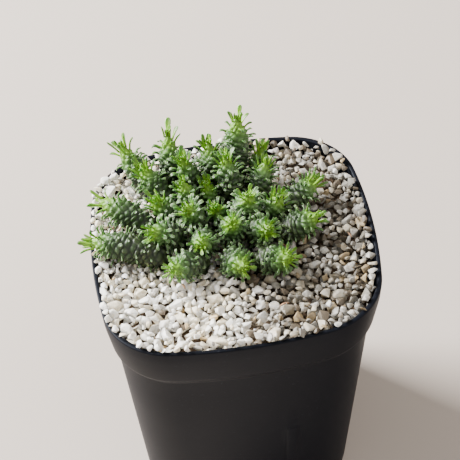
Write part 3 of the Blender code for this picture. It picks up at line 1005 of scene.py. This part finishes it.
# How leaves stand below the growing tip: distance from it in metres, share of the full length,
# lean from the stem and further curl in degrees.
LEAF_AGES = (
    (0.0000, 0.22, 2, 5),
    (0.0010, 0.50, 6, 10),
    (0.0022, 1.00, 14, 25),
    (0.0036, 0.92, 34, 65),
    (0.0052, 0.80, 56, 115),
    (0.0080, 0.66, 72, 125),
    (0.0130, 0.54, 84, 100),
    (0.0200, 0.48, 96, 70),
    (0.0340, 0.42, 104, 50),
)

# The share of leaves that are still there at a distance below the growing tip, in metres.
LEAVES_KEPT = ((0.003, 0.85), (0.006, 0.6), (0.012, 0.5), (0.020, 0.45), (0.034, 0.35))


@dataclass(frozen=True)
class LeafHabit:
    """The length and bend of one leaf. Angles are in radians."""

    TUFT_GAIN: ClassVar[float] = 1.45
    TUFT_AT: ClassVar[float] = 0.0022
    TUFT_SPAN: ClassVar[float] = 0.0018
    SPREAD: ClassVar[float] = 3.2
    WIDEST: ClassVar[float] = 1.75
    STRAIGHTENED: ClassVar[float] = 0.4
    SHORT_TUFT: ClassVar[float] = 0.95
    SHORTENED: ClassVar[float] = 0.88

    length: float
    lean: float
    curl: float

    @classmethod
    def at_age(cls, below: float, full_length: float, tuft: float) -> "LeafHabit":
        """The usual habit at a distance below the growing tip.

        Args:
            below: The distance.
            full_length: The length of a grown leaf.
            tuft: How much longer the young leaves are on this stem.

        Returns:
            The habit.
        """
        ages, lengths, leans, curls = zip(*LEAF_AGES)
        in_tuft = max(0, 1 - abs(below - cls.TUFT_AT) / cls.TUFT_SPAN)
        tufted = tuft if tuft < 1 else 1 + cls.TUFT_GAIN * (tuft - 1) * in_tuft
        shortened = cls.SHORTENED if tuft <= cls.SHORT_TUFT else 1
        length = full_length * float(np.interp(below, ages, lengths)) * tufted * shortened
        lean, curl = (math.radians(float(np.interp(below, ages, angles))) for angles in (leans, curls))
        spread = cls.SPREAD * max(0, 1 - tuft) * min(1, below / cls.TUFT_AT)
        straightened = 1 - cls.STRAIGHTENED * min(1, spread)
        return cls(length, max(lean, min(lean + spread, cls.WIDEST)), curl * straightened)

    def varied(self, chance: random.Random) -> "LeafHabit":
        """A habit a little off this one."""
        return LeafHabit(self.length * chance.uniform(0.82, 1.1), self.lean + chance.uniform(-0.12, 0.12),
                         self.curl * chance.uniform(0.5, 1.35))

    def drawn_in(self) -> "LeafHabit":
        """A shorter habit, closer to the stem."""
        return LeafHabit(self.length * 0.9, self.lean * 0.85, self.curl)


@dataclass
class LeafyStem:
    """One stem of the clump: tubercles in spirals, a tuft of leaves at its tip and older leaves below."""

    index: int
    axes: Sequence[StemAxis]
    rim: float
    tubercle_rise: float = 0.00018
    tubercle_height: float = 0.00105
    height_range: tuple[float, float] = (0.45, 1.5)
    lift_range: tuple[float, float] = (0.2, 0.55)
    off_centre: float = 0.4
    tile_steps: int = 5
    below_exit: int = 33
    foot_depth: float = 0.004
    tip_gap: float = 0.00002
    clear_length: float = 0.001
    sunk: float = 0.0012
    weld: float = 2e-6
    neck: float = 0.007
    side_gap: float = 0.0002
    sight: float = 0.016
    pull: float = 0.07
    pull_steps: int = 14
    leaf_length: float = 0.0052
    leaf_width: float = 0.0014
    least_width: float = 0.3
    width_gain: float = 170
    leaf_thick: float = 0.0005
    leaf_steps: int = 8
    leaf_tries: int = 7
    leaf_room: float = 0.6
    lowest_leaf: float = 0.0012
    rim_reach: float = 0.048
    rim_gap: float = 0.0007
    bare_foot: int = 8
    fullness: float = 1.3
    thinned: float = 0.6
    tuft_range: tuple[float, float] = (0.001, 0.006)
    unevenness: float = 0.0005
    wave_rate: float = 500
    sideways_rate: float = 260
    seeds_from: int = 100
    age_length: float = 0.02
    youth: float = 1.5

    def __post_init__(self) -> None:
        """Gathers what stands round the stem."""
        self.random = random.Random(self.seeds_from + self.index)
        self.reach = np.sin(np.linspace(0, math.pi / 2, self.leaf_steps + 1))
        self.lowest_corner = np.array(cad_box[0]) + self.leaf_width / 2
        self.highest_corner = np.array(cad_box[1]) - self.leaf_width / 2
        self.axis = self.axes[self.index]
        others = [axis for axis in self.axes if axis is not self.axis]
        self.rivals = np.concatenate([axis.line for axis in others])
        self.rival_radii = np.concatenate([axis.radius(axis.marks) for axis in others])
        apart = np.linalg.norm(self.rivals - self.axis.line.mean(axis=0), axis=1)
        near = apart < self.axis.length / 2 + self.sight
        self.rivals, self.rival_radii = self.rivals[near], self.rival_radii[near]
        self.count = int((self.axis.length - self.tubercle_rise) / self.tubercle_rise)
        self.twist = self.random.uniform(0, FULL_TURN)
        self.age_length *= max(self.axis.shoot.tuft, 1) ** self.youth

    def to_own_side(self, points: np.ndarray, centres: np.ndarray) -> np.ndarray:
        """Draws points in towards the stem's middle until each is nearer to it than to a neighbour.

        Args:
            points: The points.
            centres: The place in the middle of the stem that each is drawn towards.

        Returns:
            The moved points.
        """
        moved = points.copy()
        todo = np.arange(len(points))
        for _ in range(self.pull_steps):
            here = moved[todo]
            own = np.linalg.norm(here[:, None] - self.axis.line[None], axis=2).min(axis=1)
            other = np.linalg.norm(here[:, None] - self.rivals[None], axis=2).min(axis=1)
            todo = todo[own + self.side_gap > other]
            if not len(todo):
                break
            moved[todo] += self.pull * (centres[todo] - moved[todo])
        return moved

    def uneven(self, s: np.ndarray, angle: np.ndarray) -> tuple[np.ndarray, np.ndarray]:
        """Shifts places on the stem a little, so that the spirals of tubercles run unevenly.

        Args:
            s: Lengths up the stem.
            angle: Angles round it.

        Returns:
            The shifted lengths and angles.
        """
        wave = self.wave_rate * s + self.twist
        fade = self.unevenness * np.clip((self.axis.length - s) / self.neck, 0, 1)
        turned = self.sideways_rate * fade * np.sin(3 * angle - 1.3 * wave)
        return s + fade * np.sin(2 * angle + wave), angle + turned

    def swelling(self, s: np.ndarray) -> np.ndarray:
        """How high the tubercles stand, which is less at the tip and at the foot.

        Args:
            s: Lengths up the stem.

        Returns:
            The height at each.
        """
        girth = np.minimum(self.axis.radius(s) / self.axis.body_radius, 1)
        young = np.clip((self.axis.length - s) / self.neck, 0, 1)
        return self.tubercle_height * (0.12 + 0.88 * girth) * (0.4 + 0.6 * young)

    def tubercles(self, draft: MeshDraft) -> None:
        """Adds the body: a diamond tile for each tubercle, swollen into a low cone with a rounded top.

        Args:
            draft: The mesh in the making.
        """
        steps = self.tile_steps
        a, b = (grid.ravel() for grid in np.meshgrid(*[np.linspace(0, 1, steps + 1)] * 2, indexing="ij"))
        u, v = 2 * a - 1, 2 * b - 1
        five, eight = wrapped(5 * GOLDEN_ANGLE), wrapped(8 * GOLDEN_ANGLE)
        corner = np.arange(steps)
        low = (corner[:, None] * (steps + 1) + corner[None]).ravel()
        faces = np.column_stack([low, low + 1, low + steps + 2, low + steps + 1])
        top = self.axis.length - self.tip_gap
        for n in range(-self.below_exit, self.count):
            s = (n + 7.5 - 5 * a - 8 * b) * self.tubercle_rise
            angle = self.twist + n * GOLDEN_ANGLE + (five + eight) / 2 - a * five - b * eight
            s, angle = self.uneven(s, angle)
            s = np.clip(s, -self.foot_depth, top)
            points, normal, _, heading = self.axis.skin(s, angle)
            aside = u + self.random.uniform(-self.off_centre, self.off_centre) * (1 - u * u)
            ahead = v + self.random.uniform(-self.off_centre, self.off_centre) * (1 - v * v)
            crest = np.maximum((1 - aside**2) * (1 - ahead**2), 0) ** 0.6 * (1 - 0.35 * (aside**2 + ahead**2))
            height = self.swelling(s) * self.random.uniform(*self.height_range)
            lift = normal + heading * self.random.uniform(*self.lift_range)
            points = points + lift * (height * crest)[:, None]
            centres, _ = self.axis.centre(s)
            points = self.to_own_side(points, centres)
            lowest = np.where(s > self.clear_length, self.axis.level - self.sunk, -math.inf)
            points[:, 2] = np.maximum(points[:, 2], lowest)
            age = np.clip((self.axis.length - s) / self.age_length, 0, 1)
            draft.add(points, faces, 0, age=age, crest=crest, own=self.random.random())

    def blade(self, n: int, habit: LeafHabit, roll: float) -> tuple[np.ndarray, np.ndarray, np.ndarray]:
        """The middle line of one leaf, bent outwards along its length.

        Args:
            n: The number of its tubercle.
            habit: The leaf's length and bend.
            roll: How far it is turned sideways.

        Returns:
            The line's points, its upward directions and its sideways direction.
        """
        s, angle = np.array([(n + 1) * self.tubercle_rise]), np.array([self.twist + n * GOLDEN_ANGLE])
        s, angle = self.uneven(s, angle)
        base, normal, radial, heading = self.axis.skin(s, angle)
        sideways = np.cross(heading, radial)[0]
        radial = radial[0] * math.cos(roll) + sideways * math.sin(roll)
        sideways = np.cross(heading[0], radial)
        turn = (habit.lean + habit.curl * self.reach**2.4)[:, None]
        along = heading[0] * np.cos(turn) + radial * np.sin(turn)
        upper = heading[0] * np.sin(turn) - radial * np.cos(turn)
        start = base[0] + (normal[0] + heading[0] * 0.35) * self.swelling(s)[0] * 0.65
        steps = along[:-1] * (np.diff(self.reach) * habit.length)[:, None]
        line = start + np.concatenate([np.zeros((1, 3)), np.cumsum(steps, axis=0)])
        return line, upper, sideways

    def has_room(self, line: np.ndarray) -> bool:
        """Whether a leaf's outer part is clear of the other stems' bodies."""
        gaps = np.linalg.norm(line[3:, None] - self.rivals[None], axis=2) - self.rival_radii[None]
        return bool(gaps.min() > self.tubercle_height * self.leaf_room)

    def leaf(self, draft: MeshDraft, k: int) -> None:
        """Adds one leaf.

        Args:
            draft: The mesh in the making.
            k: Its age in leaves, from 0 for the youngest.
        """
        n = self.count - 1 - k
        depth = k * self.tubercle_rise
        chance = self.random.uniform
        habit = LeafHabit.at_age(depth, self.leaf_length, self.axis.shoot.tuft).varied(self.random)
        roll = chance(-0.15, 0.15)
        for _ in range(self.leaf_tries):
            line, upper, sideways = self.blade(n, habit, roll)
            if self.has_room(line):
                break
            habit = habit.drawn_in()
        line = np.clip(line, self.lowest_corner, self.highest_corner)
        reach = self.reach
        over_rim = np.abs(line[:, :2]).max(axis=1) > self.rim_reach
        lowest = np.where(over_rim, self.rim + self.rim_gap, self.axis.level + self.lowest_leaf)
        lowest = lowest + self.leaf_thick * (1 - reach)
        line[1:, 2] = np.maximum(line[1:, 2], lowest[1:])
        spoon = 0.36 + 0.64 * np.clip((reach - 0.08) / 0.64, 0, 1) ** 1.3
        tip = np.maximum(1 - np.clip((reach - 0.72) / 0.28, 0, 1) ** 3, 0.015) ** 0.5
        half = self.leaf_width / 2 * (self.least_width + self.width_gain * habit.length) * spoon * tip
        half = half * chance(0.88, 1.1)
        thick = self.leaf_thick * (1.25 - 0.55 * reach) * np.maximum(tip, 0.3)
        across, channel, below = (np.array(part) for part in zip(*LEAF_SECTION))
        points = line[:, None] + sideways * (half[:, None] * across)[..., None]
        lift = half[:, None] * 0.18 * channel + thick[:, None] * below
        points = (points + upper[:, None] * lift[..., None]).reshape(-1, 3)
        edge = np.tile((np.abs(across) == 1).astype(float), len(line))
        faces = loft_faces(len(line), len(across))
        draft.add(points, faces, 1, age=min(depth / self.age_length, 1), crest=edge,
                  own=self.random.random(), reach=np.repeat(reach, len(across)))

    def build(self, finishes: Sequence[bpy.types.Material]) -> bpy.types.Object:
        """Builds the stem and fits it to the frame in place of its solid.

        Args:
            finishes: The materials of its skin and of its leaves.

        Returns:
            The piece.
        """
        draft = MeshDraft()
        self.tubercles(draft)
        for k in range(self.count - self.bare_foot):
            depth = k * self.tubercle_rise
            kept = float(np.interp(depth, *zip(*LEAVES_KEPT)))
            if self.tuft_range[0] < depth < self.tuft_range[1]:
                kept *= self.fullness - self.thinned * self.axis.shoot.tuft
            if self.random.random() < kept:
                self.leaf(draft, k)
        node = f"stem_{self.index + 1:02d}"
        piece = draft.build(f"{node}_grown", finishes)
        self.close(piece.data)
        return settle_in(piece, "stem", node)

    def close(self, mesh: bpy.types.Mesh) -> None:
        """Joins the tubercles' shared edges and closes the body at its foot and tip.

        Args:
            mesh: The stem's mesh.
        """
        work = bmesh.new()
        work.from_mesh(mesh)
        bmesh.ops.remove_doubles(work, verts=work.verts, dist=self.weld)
        open_edges = [edge for edge in work.edges if edge.is_boundary]
        bmesh.ops.holes_fill(work, edges=open_edges, sides=0)
        work.to_mesh(mesh)
        work.free()


class StoneKind(Enum):
    """The kinds of stone: share on the clean left, share where earth and painted shade are full, and the
    body, shaded and stained tones.
    """

    WHITE = (0.57, 0.13, tone(250, 249, 246), tone(214, 211, 202), tone(208, 190, 150))
    CREAM = (0.29, 0.20, tone(240, 233, 216), tone(200, 189, 163), tone(180, 154, 112))
    GREY = (0.11, 0.38, tone(208, 205, 199), tone(136, 132, 121), tone(110, 100, 78))
    OCHRE = (0.02, 0.06, tone(214, 192, 150), tone(168, 142, 100), tone(122, 92, 58))
    BROWN = (0.01, 0.22, tone(132, 118, 100), tone(88, 76, 62), tone(66, 54, 42))

    def share(self, dirt_and_shade_level: float) -> float:
        """Its share of the stones at this level of earth and painted shade, from 0 to 1."""
        return self.value[0] * (1 - dirt_and_shade_level) + self.value[1] * dirt_and_shade_level

    def finish(self) -> StoneFinish:
        """Its finish."""
        return StoneFinish(f"stone_{self.name.lower()}", *self.value[2:])


@dataclass
class Gravel:
    """The top dressing: broken stones that lie on each other over a bed of brown fines."""

    pot: NurseryPot
    axes: Sequence[StemAxis]
    level: float
    bed_depth: float = 0.0046
    bed_gap: float = 0.0006
    bed_lumps: float = 0.0004
    bed_rings: tuple[float, ...] = (1.0, 0.92, 0.84, 0.76, 0.68, 0.6, 0.52, 0.44, 0.36, 0.28, 0.2, 0.12, 0.05)
    soil_gap: float = 0.0084
    small: float = 0.0011
    usual: float = 0.0016
    large: float = 0.0037
    fine: float = 0.0017
    longest: float = 1.4
    top: float = 0.72
    closeness: float = 0.87
    bed_touch: float = 0.5
    lip_touch: float = 0.8
    wall_room: float = 0.85
    stem_room: float = 0.75
    on_the_lip: float = 0.5
    on_the_back_lip: float = 0.02
    lip_left: float = -0.045
    lip_right: float = 0.04
    lip_front: float = -0.03
    lip_room: float = 0.002
    lip_overhang: float = 0.0006
    cover: float = 0.0025
    front_rise: float = 0.0008
    front_reach: float = 0.05
    heap: float = 0.0016
    heap_reach: float = 0.008
    dip: float = 0.001
    dip_reach: float = 0.012
    # Where the stones are darkened by earth and by painted shade of the stems, and how much less at the back.
    dirt_and_shade_start: float = -0.007
    dirt_and_shade_width: float = 0.02
    dirt_and_shade_range: tuple[float, float] = (0.55, 0.92)
    back_start: float = 0.015
    back_width: float = 0.015
    less_dirt_and_shade_back: float = 0.3
    cell: float = 0.006
    rolls: int = 10
    ways: int = 5
    fan: float = 1.2566
    stride: float = 0.6
    least_drop: float = 1e-6
    any_turn: float = 6.3
    sharp_angle: float = math.radians(38)
    shapes: int = 28
    misses: int = 350
    seed: int = 11

    def __post_init__(self) -> None:
        """Makes the edge that the stones stay inside, and starts the seeded chance."""
        self.random = random.Random(self.seed)
        edge = self.pot.ring(self.pot.inner_width_at(self.level), 0)[:, :2]
        ahead = np.roll(edge, -1, axis=0) - edge
        self.edge = edge
        self.inward = unit(np.column_stack([-ahead[:, 1], ahead[:, 0]]))
        self.cells: dict[tuple[int, int], list[tuple[float, float, float, float]]] = {}
        self.stems = np.concatenate([axis.line for axis in self.axes])
        self.stem_radii = np.concatenate([axis.radius(axis.marks) for axis in self.axes])

    def fits(self, x: float, y: float, radius: float, margin: float) -> bool:
        """Whether a stone may lie at a place.

        Args:
            x, y: The place.
            radius: The stone's radius.
            margin: How far inside the wall its middle stays.

        Returns:
            Whether it keeps that margin and stays within the whole object's box.
        """
        reach = max(abs(x), abs(y)) + radius * self.longest
        return self.wall_distance(x, y) > margin and reach < cad_box[1][1]

    def wall_distance(self, x: float, y: float) -> float:
        """How far a place is from the pot's wall."""
        away = (x - self.edge[:, 0]) * self.inward[:, 0] + (y - self.edge[:, 1]) * self.inward[:, 1]
        return float(away.min())

    def cell_of(self, x: float, y: float) -> tuple[int, int]:
        """The cell of the search grid that a place is in."""
        return int(x // self.cell), int(y // self.cell)

    def rest_height(self, x: float, y: float, radius: float) -> float:
        """The height at which a stone dropped at a place comes to rest.

        Args:
            x, y: The place.
            radius: The stone's radius.

        Returns:
            The height of its middle.
        """
        best = self.level - self.bed_depth + radius * self.bed_touch
        column, row = self.cell_of(x, y)
        for i in (column - 1, column, column + 1):
            for j in (row - 1, row, row + 1):
                for other_x, other_y, other_z, other_radius in self.cells.get((i, j), ()):
                    touch = (radius + other_radius) * self.closeness
                    gap = touch * touch - (x - other_x) ** 2 - (y - other_y) ** 2
                    if gap > 0:
                        best = max(best, other_z + math.sqrt(gap))
        overlap = (radius * self.lip_touch) ** 2 - max(self.wall_distance(x, y), 0) ** 2
        return max(best, self.pot.height + math.sqrt(overlap)) if overlap > 0 else best

    def surface(self, x: float, y: float) -> float:
        """How high the stones may reach: fuller at the front, heaped at the wall, lower where earth and
        painted shade are strong.

        Args:
            x, y: The place.

        Returns:
            The height.
        """
        fuller = self.front_rise * max(0.0, -y / self.front_reach)
        from_wall = max(self.wall_distance(x, y), 0)
        sunken = self.dip * self.dirt_and_shade_share(x, y) * min(from_wall / self.dip_reach, 1)
        heaped = self.heap * math.exp(-from_wall / self.heap_reach) if y > self.lip_front else 0
        return self.level + self.cover + fuller + heaped - sunken

    def dirt_and_shade_share(self, x: float, y: float) -> float:
        """How far the stones are darkened, partly by earth among them and partly by painted shade of the
        stems: fully on the right, less at the back, not on the left.

        Args:
            x, y: The place.

        Returns:
            The share, from 0 to 1.
        """
        rightwards = min(max((x - self.dirt_and_shade_start) / self.dirt_and_shade_width, 0), 1)
        backwards = min(max((y - self.back_start) / self.back_width, 0), 1)
        return rightwards * (1 - self.less_dirt_and_shade_back * backwards)

    def clear_of_stems(self, x: float, y: float, z: float, radius: float) -> bool:
        """Whether a stone touches no stem."""
        gaps = np.sqrt(((self.stems - (x, y, z)) ** 2).sum(axis=1)) - self.stem_radii
        return bool(gaps.min() > radius * self.stem_room)

    def rolled(self, x: float, y: float, radius: float, margin: float) -> tuple[float, float, float]:
        """Lets a stone roll downhill from where it is dropped.

        Args:
            x, y: Where it is dropped.
            radius: Its radius.
            margin: How far inside the wall its middle stays.

        Returns:
            Where it comes to rest.
        """
        z = self.rest_height(x, y, radius)
        stride = radius * self.stride
        for _ in range(self.rolls):
            turn = self.random.uniform(0, FULL_TURN)
            ways = [turn + k * self.fan for k in range(self.ways)]
            spots = [(x + stride * math.cos(way), y + stride * math.sin(way)) for way in ways]
            spots = [spot for spot in spots if self.fits(*spot, radius, margin)]
            low = min(((self.rest_height(*spot, radius), spot) for spot in spots), default=(z, (x, y)))
            if low[0] < z - self.least_drop:
                z, (x, y) = low
            else:
                stride *= self.stride
        return x, y, z

    def settle(self) -> list[tuple[float, float, float, float]]:
        """Drops stones one by one and lets each roll to the lowest place near it.

        Returns:
            Each stone's place and radius.
        """
        stones = []
        missed = 0
        reach = self.pot.rim_width / 2
        while missed < self.misses:
            radius = self.random.triangular(self.small, self.large, self.usual)
            x, y = self.random.uniform(-reach, reach), self.random.uniform(-reach, reach)
            near = (y < self.lip_front and x < self.lip_right) or x < self.lip_left
            over_lip = self.random.random() < (self.on_the_lip if near else self.on_the_back_lip)
            margin = -self.lip_overhang if over_lip else radius * self.wall_room
            if not self.fits(x, y, radius, margin):
                continue
            x, y, z = self.rolled(x, y, radius, margin)
            lip_room = self.lip_room if self.wall_distance(x, y) < radius else 0
            too_high = z + radius * self.top > self.surface(x, y) + lip_room
            if too_high or not self.clear_of_stems(x, y, z, radius):
                missed += 1
                continue
            missed = 0
            self.cells.setdefault(self.cell_of(x, y), []).append((x, y, z, radius))
            stones.append((x, y, z, radius))
        return stones

    def chip(self, corners: int, rounding: float, steps: int) -> tuple[np.ndarray, np.ndarray]:
        """One broken stone of about unit radius: the hull of random corners, with its edges worn round.

        Args:
            corners: How many corners it starts from.
            rounding: How far its edges are worn back.
            steps: How many strips of faces round off each edge.

        Returns:
            Its points and triangles.
        """
        work = bmesh.new()
        for _ in range(corners):
            spot = Vector([self.random.gauss(0, 1) for _ in range(3)]).normalized()
            work.verts.new(spot * self.random.uniform(0.9, 1.12))
        hull = bmesh.ops.convex_hull(work, input=work.verts)
        loose = [vert for vert in hull["geom_interior"] if isinstance(vert, bmesh.types.BMVert)]
        bmesh.ops.delete(work, geom=loose, context="VERTS")
        bmesh.ops.dissolve_limit(work, angle_limit=math.radians(12), verts=work.verts, edges=work.edges)
        bmesh.ops.bevel(work, geom=work.edges[:], offset=rounding, segments=steps, profile=0.6,
                        affect="EDGES", clamp_overlap=True)
        bmesh.ops.triangulate(work, faces=work.faces[:])
        points = np.array([tuple(vert.co) for vert in work.verts])
        faces = np.array([[vert.index for vert in face.verts] for face in work.faces])
        work.free()
        return points, faces

    def chips(self, corners: tuple[int, int], rounding: tuple[float, float],
              steps: int) -> list[tuple[np.ndarray, np.ndarray]]:
        """A set of broken stones, no two alike.

        Args:
            corners: The fewest and the most corners that one starts from.
            rounding: The least and the most that its edges are worn back.
            steps: How many strips of faces round off each edge.

        Returns:
            The points and triangles of each.
        """
        draw, count = self.random, self.shapes
        return [self.chip(draw.randint(*corners), draw.uniform(*rounding), steps) for _ in range(count)]

    def pose(self) -> np.ndarray:
        """A random stretch and turn for one stone, lying roughly flat.

        Returns:
            Its matrix.
        """
        draw = self.random
        size = Matrix.Diagonal((draw.uniform(1.0, 1.25), draw.uniform(0.8, 1.0), draw.uniform(0.62, 0.85)))
        spin = Matrix.Rotation(draw.uniform(0, self.any_turn), 3, "Z")
        lean = draw.gauss(0, 0.45)
        tilt = Matrix.Rotation(lean, 3, Vector((draw.gauss(0, 1), draw.gauss(0, 1), 0.1)))
        return np.array(tilt @ spin @ size @ Matrix.Rotation(draw.uniform(0, self.any_turn), 3, "X"))

    def bed(self, finish: bpy.types.Material) -> bpy.types.Object:
        """Builds the brown fines under the stones, as a lumpy layer down to the soil.

        Args:
            finish: Their material.

        Returns:
            The piece.
        """
        low, high = self.level - self.soil_gap, self.level - self.bed_depth
        rings = [self.pot.ring(self.pot.inner_width_at(low) - self.bed_gap, low)]
        edge = self.pot.ring(self.pot.inner_width_at(high) - self.bed_gap, high)
        for share in self.bed_rings:
            ring = edge * (share, share, 1)
            if share < 1:
                ring[:, 2] += [self.random.uniform(-self.bed_lumps, self.bed_lumps) for _ in ring]
            rings.append(ring)
        draft = MeshDraft()
        draft.add(np.concatenate(rings), loft_faces(len(rings), len(edge)))
        return settle_in(draft.build("gravel_fines", [finish]), "gravel", "gravel")

    def build(self) -> list[bpy.types.Object]:
        """Builds the stones, a piece for each kind, and fits them to the frame in place of their solid.

        Returns:
            The pieces.
        """
        shapes = self.chips((9, 14), (0.07, 0.15), 2)
        small_shapes = self.chips((8, 11), (0.1, 0.16), 1)
        drafts = {kind: MeshDraft() for kind in StoneKind}
        stones = self.settle()
        for x, y, z, radius in stones:
            points, faces = self.random.choice(small_shapes if radius < self.fine else shapes)
            dirt_and_shade_level = self.dirt_and_shade_share(x, y)
            weights = [kind.share(dirt_and_shade_level) for kind in StoneKind]
            kind = self.random.choices(list(StoneKind), weights)[0]
            placed = points @ self.pose().T * radius + (x, y, z)
            own = self.random.random()
            # The stone's age mark is its level of earth and painted shade.
            drafts[kind].add(placed, faces, own=own, age=dirt_and_shade_level * self.random.uniform(*self.dirt_and_shade_range))
        log.info("%d stones", len(stones))
        pieces = []
        for kind, draft in drafts.items():
            name = f"gravel_{kind.name.lower()}"
            piece = draft.build(name, [kind.finish().material()], self.sharp_angle)
            pieces.append(settle_in(piece, "gravel", "gravel"))
        return pieces


@dataclass
class Studio:
    """The plain pale floor, the soft light and the camera."""

    floor_size: float = 8.0
    azimuth: float = math.radians(-5.98)
    elevation: float = math.radians(46.23)
    roll: float = math.radians(-3.14)
    distance: float = 0.6159
    aside: float = 0.0012
    above: float = -0.0034
    focal_length: float = 0.12741
    sensor_width: float = 36
    clip_range: tuple[float, float] = (0.01, 50)
    sky: Colour = tone(236, 232, 228)
    sky_strength: float = 0.8

    def floor(self, finish: bpy.types.Material) -> None:
        """Lays the floor, which isn't part of the object.

        Args:
            finish: Its material.
        """
        half = self.floor_size / 2
        corners = [(-half, -half, 0), (half, -half, 0), (half, half, 0), (-half, half, 0)]
        draft = MeshDraft()
        draft.add(np.array(corners, float), [(0, 1, 2, 3)])
        draft.build("floor", [finish])

    def camera(self, target: Vector) -> None:
        """Sets the camera up.

        Args:
            target: The middle of the pot's mouth, which it looks at but for a small offset.
        """
        back = Vector((
            math.sin(self.azimuth) * math.cos(self.elevation),
            -math.cos(self.azimuth) * math.cos(self.elevation),
            math.sin(self.elevation),
        ))
        level_right = Vector((math.cos(self.azimuth), math.sin(self.azimuth), 0))
        level_up = back.cross(level_right)
        right = level_right * math.cos(self.roll) + level_up * math.sin(self.roll)
        up = back.cross(right)
        lens = bpy.data.cameras.new("photo_camera")
        lens.sensor_width = self.sensor_width
        lens.lens = self.focal_length * 1000
        lens.clip_start, lens.clip_end = self.clip_range
        camera = new_object("photo_camera", lens)
        spot = target + back * self.distance - right * self.aside - up * self.above
        camera.matrix_world = Matrix.Translation(spot) @ Matrix((right, up, back)).transposed().to_4x4()
        bpy.context.scene.camera = camera

    @staticmethod
    def lamp(name: str, spot: Vector, aim: Vector, size: float, power: float, colour: Colour) -> None:
        """Hangs one square soft lamp.

        Args:
            name: Its name.
            spot: Where it hangs.
            aim: What it points at.
            size: The length of its side.
            power: Its power in watts.
            colour: Its colour.
        """
        data = bpy.data.lights.new(name, "AREA")
        data.shape = "SQUARE"
        data.size = size
        data.energy = power
        data.color = colour
        lamp = new_object(name, data)
        lamp.location = spot
        lamp.visible_camera = False
        lamp.rotation_mode = "QUATERNION"
        lamp.rotation_quaternion = (aim - spot).to_track_quat("-Z", "Y")

    def light(self, target: Vector) -> None:
        """Lights the scene: a window-like lamp at the back left, two weak ones on the right, and a pale sky.

        Args:
            target: What the first two lamps point at.
        """
        self.lamp("window", Vector((-1.2, 0.72, 1.05)), target, 0.8, 190, (1.0, 0.99, 0.975))
        self.lamp("fill", Vector((0.9, -1.0, 1.2)), target, 1.4, 9, (1.0, 0.98, 0.96))
        self.lamp("bounce", Vector((0.8, -0.12, 0.42)), Vector((0, 0, 0.06)), 0.3, 2.4, (1.0, 0.86, 0.74))
        world = bpy.data.worlds.new("pale_room")
        world.use_nodes = True
        sky = world.node_tree.nodes["Background"]
        sky.inputs["Color"].default_value = (*self.sky, 1)
        sky.inputs["Strength"].default_value = self.sky_strength
        bpy.context.scene.world = world


@dataclass
class DryBits:
    """A few curled dry scales lying on the stones near the stems."""

    gravel: Gravel
    count: int = 16
    length: float = 0.0034
    width: float = 0.0009
    thick: float = 0.00025
    arch: float = 0.0006
    raised_end: float = 0.0008
    middle: float = 0.002
    spread: float = 0.02
    rest_radius: float = 0.0005
    stem_gap: float = 0.001
    wall_gap: float = 0.004
    steps: int = 6
    seed: int = 5

    def build(self, finish: bpy.types.Material) -> bpy.types.Object:
        """Builds the scales as one piece and fits it to the frame.

        Args:
            finish: Their material.

        Returns:
            The piece.
        """
        chance = random.Random(self.seed)
        draft = MeshDraft()
        t = np.linspace(0, 1, self.steps + 1)
        made = 0
        while made < self.count:
            x, y = chance.gauss(self.middle, self.spread), chance.gauss(self.middle, self.spread)
            z = self.gravel.rest_height(x, y, self.rest_radius)
            clear = self.gravel.clear_of_stems(x, y, z, self.stem_gap)
            if not clear or self.gravel.wall_distance(x, y) < self.wall_gap:
                continue
            made += 1
            heading, length = chance.uniform(0, FULL_TURN), self.length * chance.uniform(0.6, 1.2)
            forward = np.array([math.cos(heading), math.sin(heading), 0])
            aside = np.array([-forward[1], forward[0], 0])
            line = np.array([x, y, z]) + forward * ((t - 0.5) * length)[:, None]
            line[:, 2] += self.arch * np.sin(math.pi * t) + self.raised_end * chance.random() * t
            half = self.width / 2 * np.sin(math.pi * (0.08 + 0.84 * t))
            rings = []
            for across, up in ((1, 0.4), (0, 1), (-1, 0.4), (0, 0)):
                rings.append(line + aside * (half * across)[:, None] + np.array([0, 0, self.thick * up]))
            points = np.stack(rings, axis=1).reshape(-1, 3)
            draft.add(points, loft_faces(self.steps + 1, 4))
        return settle_in(draft.build("dry_bits", [finish]), "stem")


def dress_soil(finish: bpy.types.Material) -> None:
    """Gives the soil's own solid its finish.

    Args:
        finish: The material.
    """
    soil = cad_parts["soil"]
    for slot in soil.material_slots:
        slot.material = finish
    log.info("soil: kept, with a new finish")


def main() -> None:
    """Builds everything in order."""
    logging.basicConfig(level=logging.INFO, format="%(name)s: %(message)s")
    pot = NurseryPot(height=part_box("pot")[1].z)
    level = pot.height - GRAVEL_DROP
    mouth = Vector((0, 0, pot.height))
    studio = Studio()
    studio.camera(mouth)
    studio.light(mouth)
    studio.floor(FloorPaper().material())
    pot.build(PotPlastic().material())
    dress_soil(Crumb("soil", dark=tone(44, 34, 27), pale=tone(92, 74, 58), grain=0.0022).material())
    axes = [StemAxis(shoot, level) for shoot in SHOOTS]
    gravel = Gravel(pot, axes, level)
    gravel.bed(Crumb("fines", dark=tone(52, 40, 30), pale=tone(118, 98, 78), grain=0.0016).material())
    gravel.build()
    DryBits(gravel).build(DryScale().material())
    finishes = [StemTissue().material(), LeafFinish().material()]
    for index in range(len(axes)):
        LeafyStem(index, axes, pot.height).build(finishes)


if __name__ == "__main__":
    main()
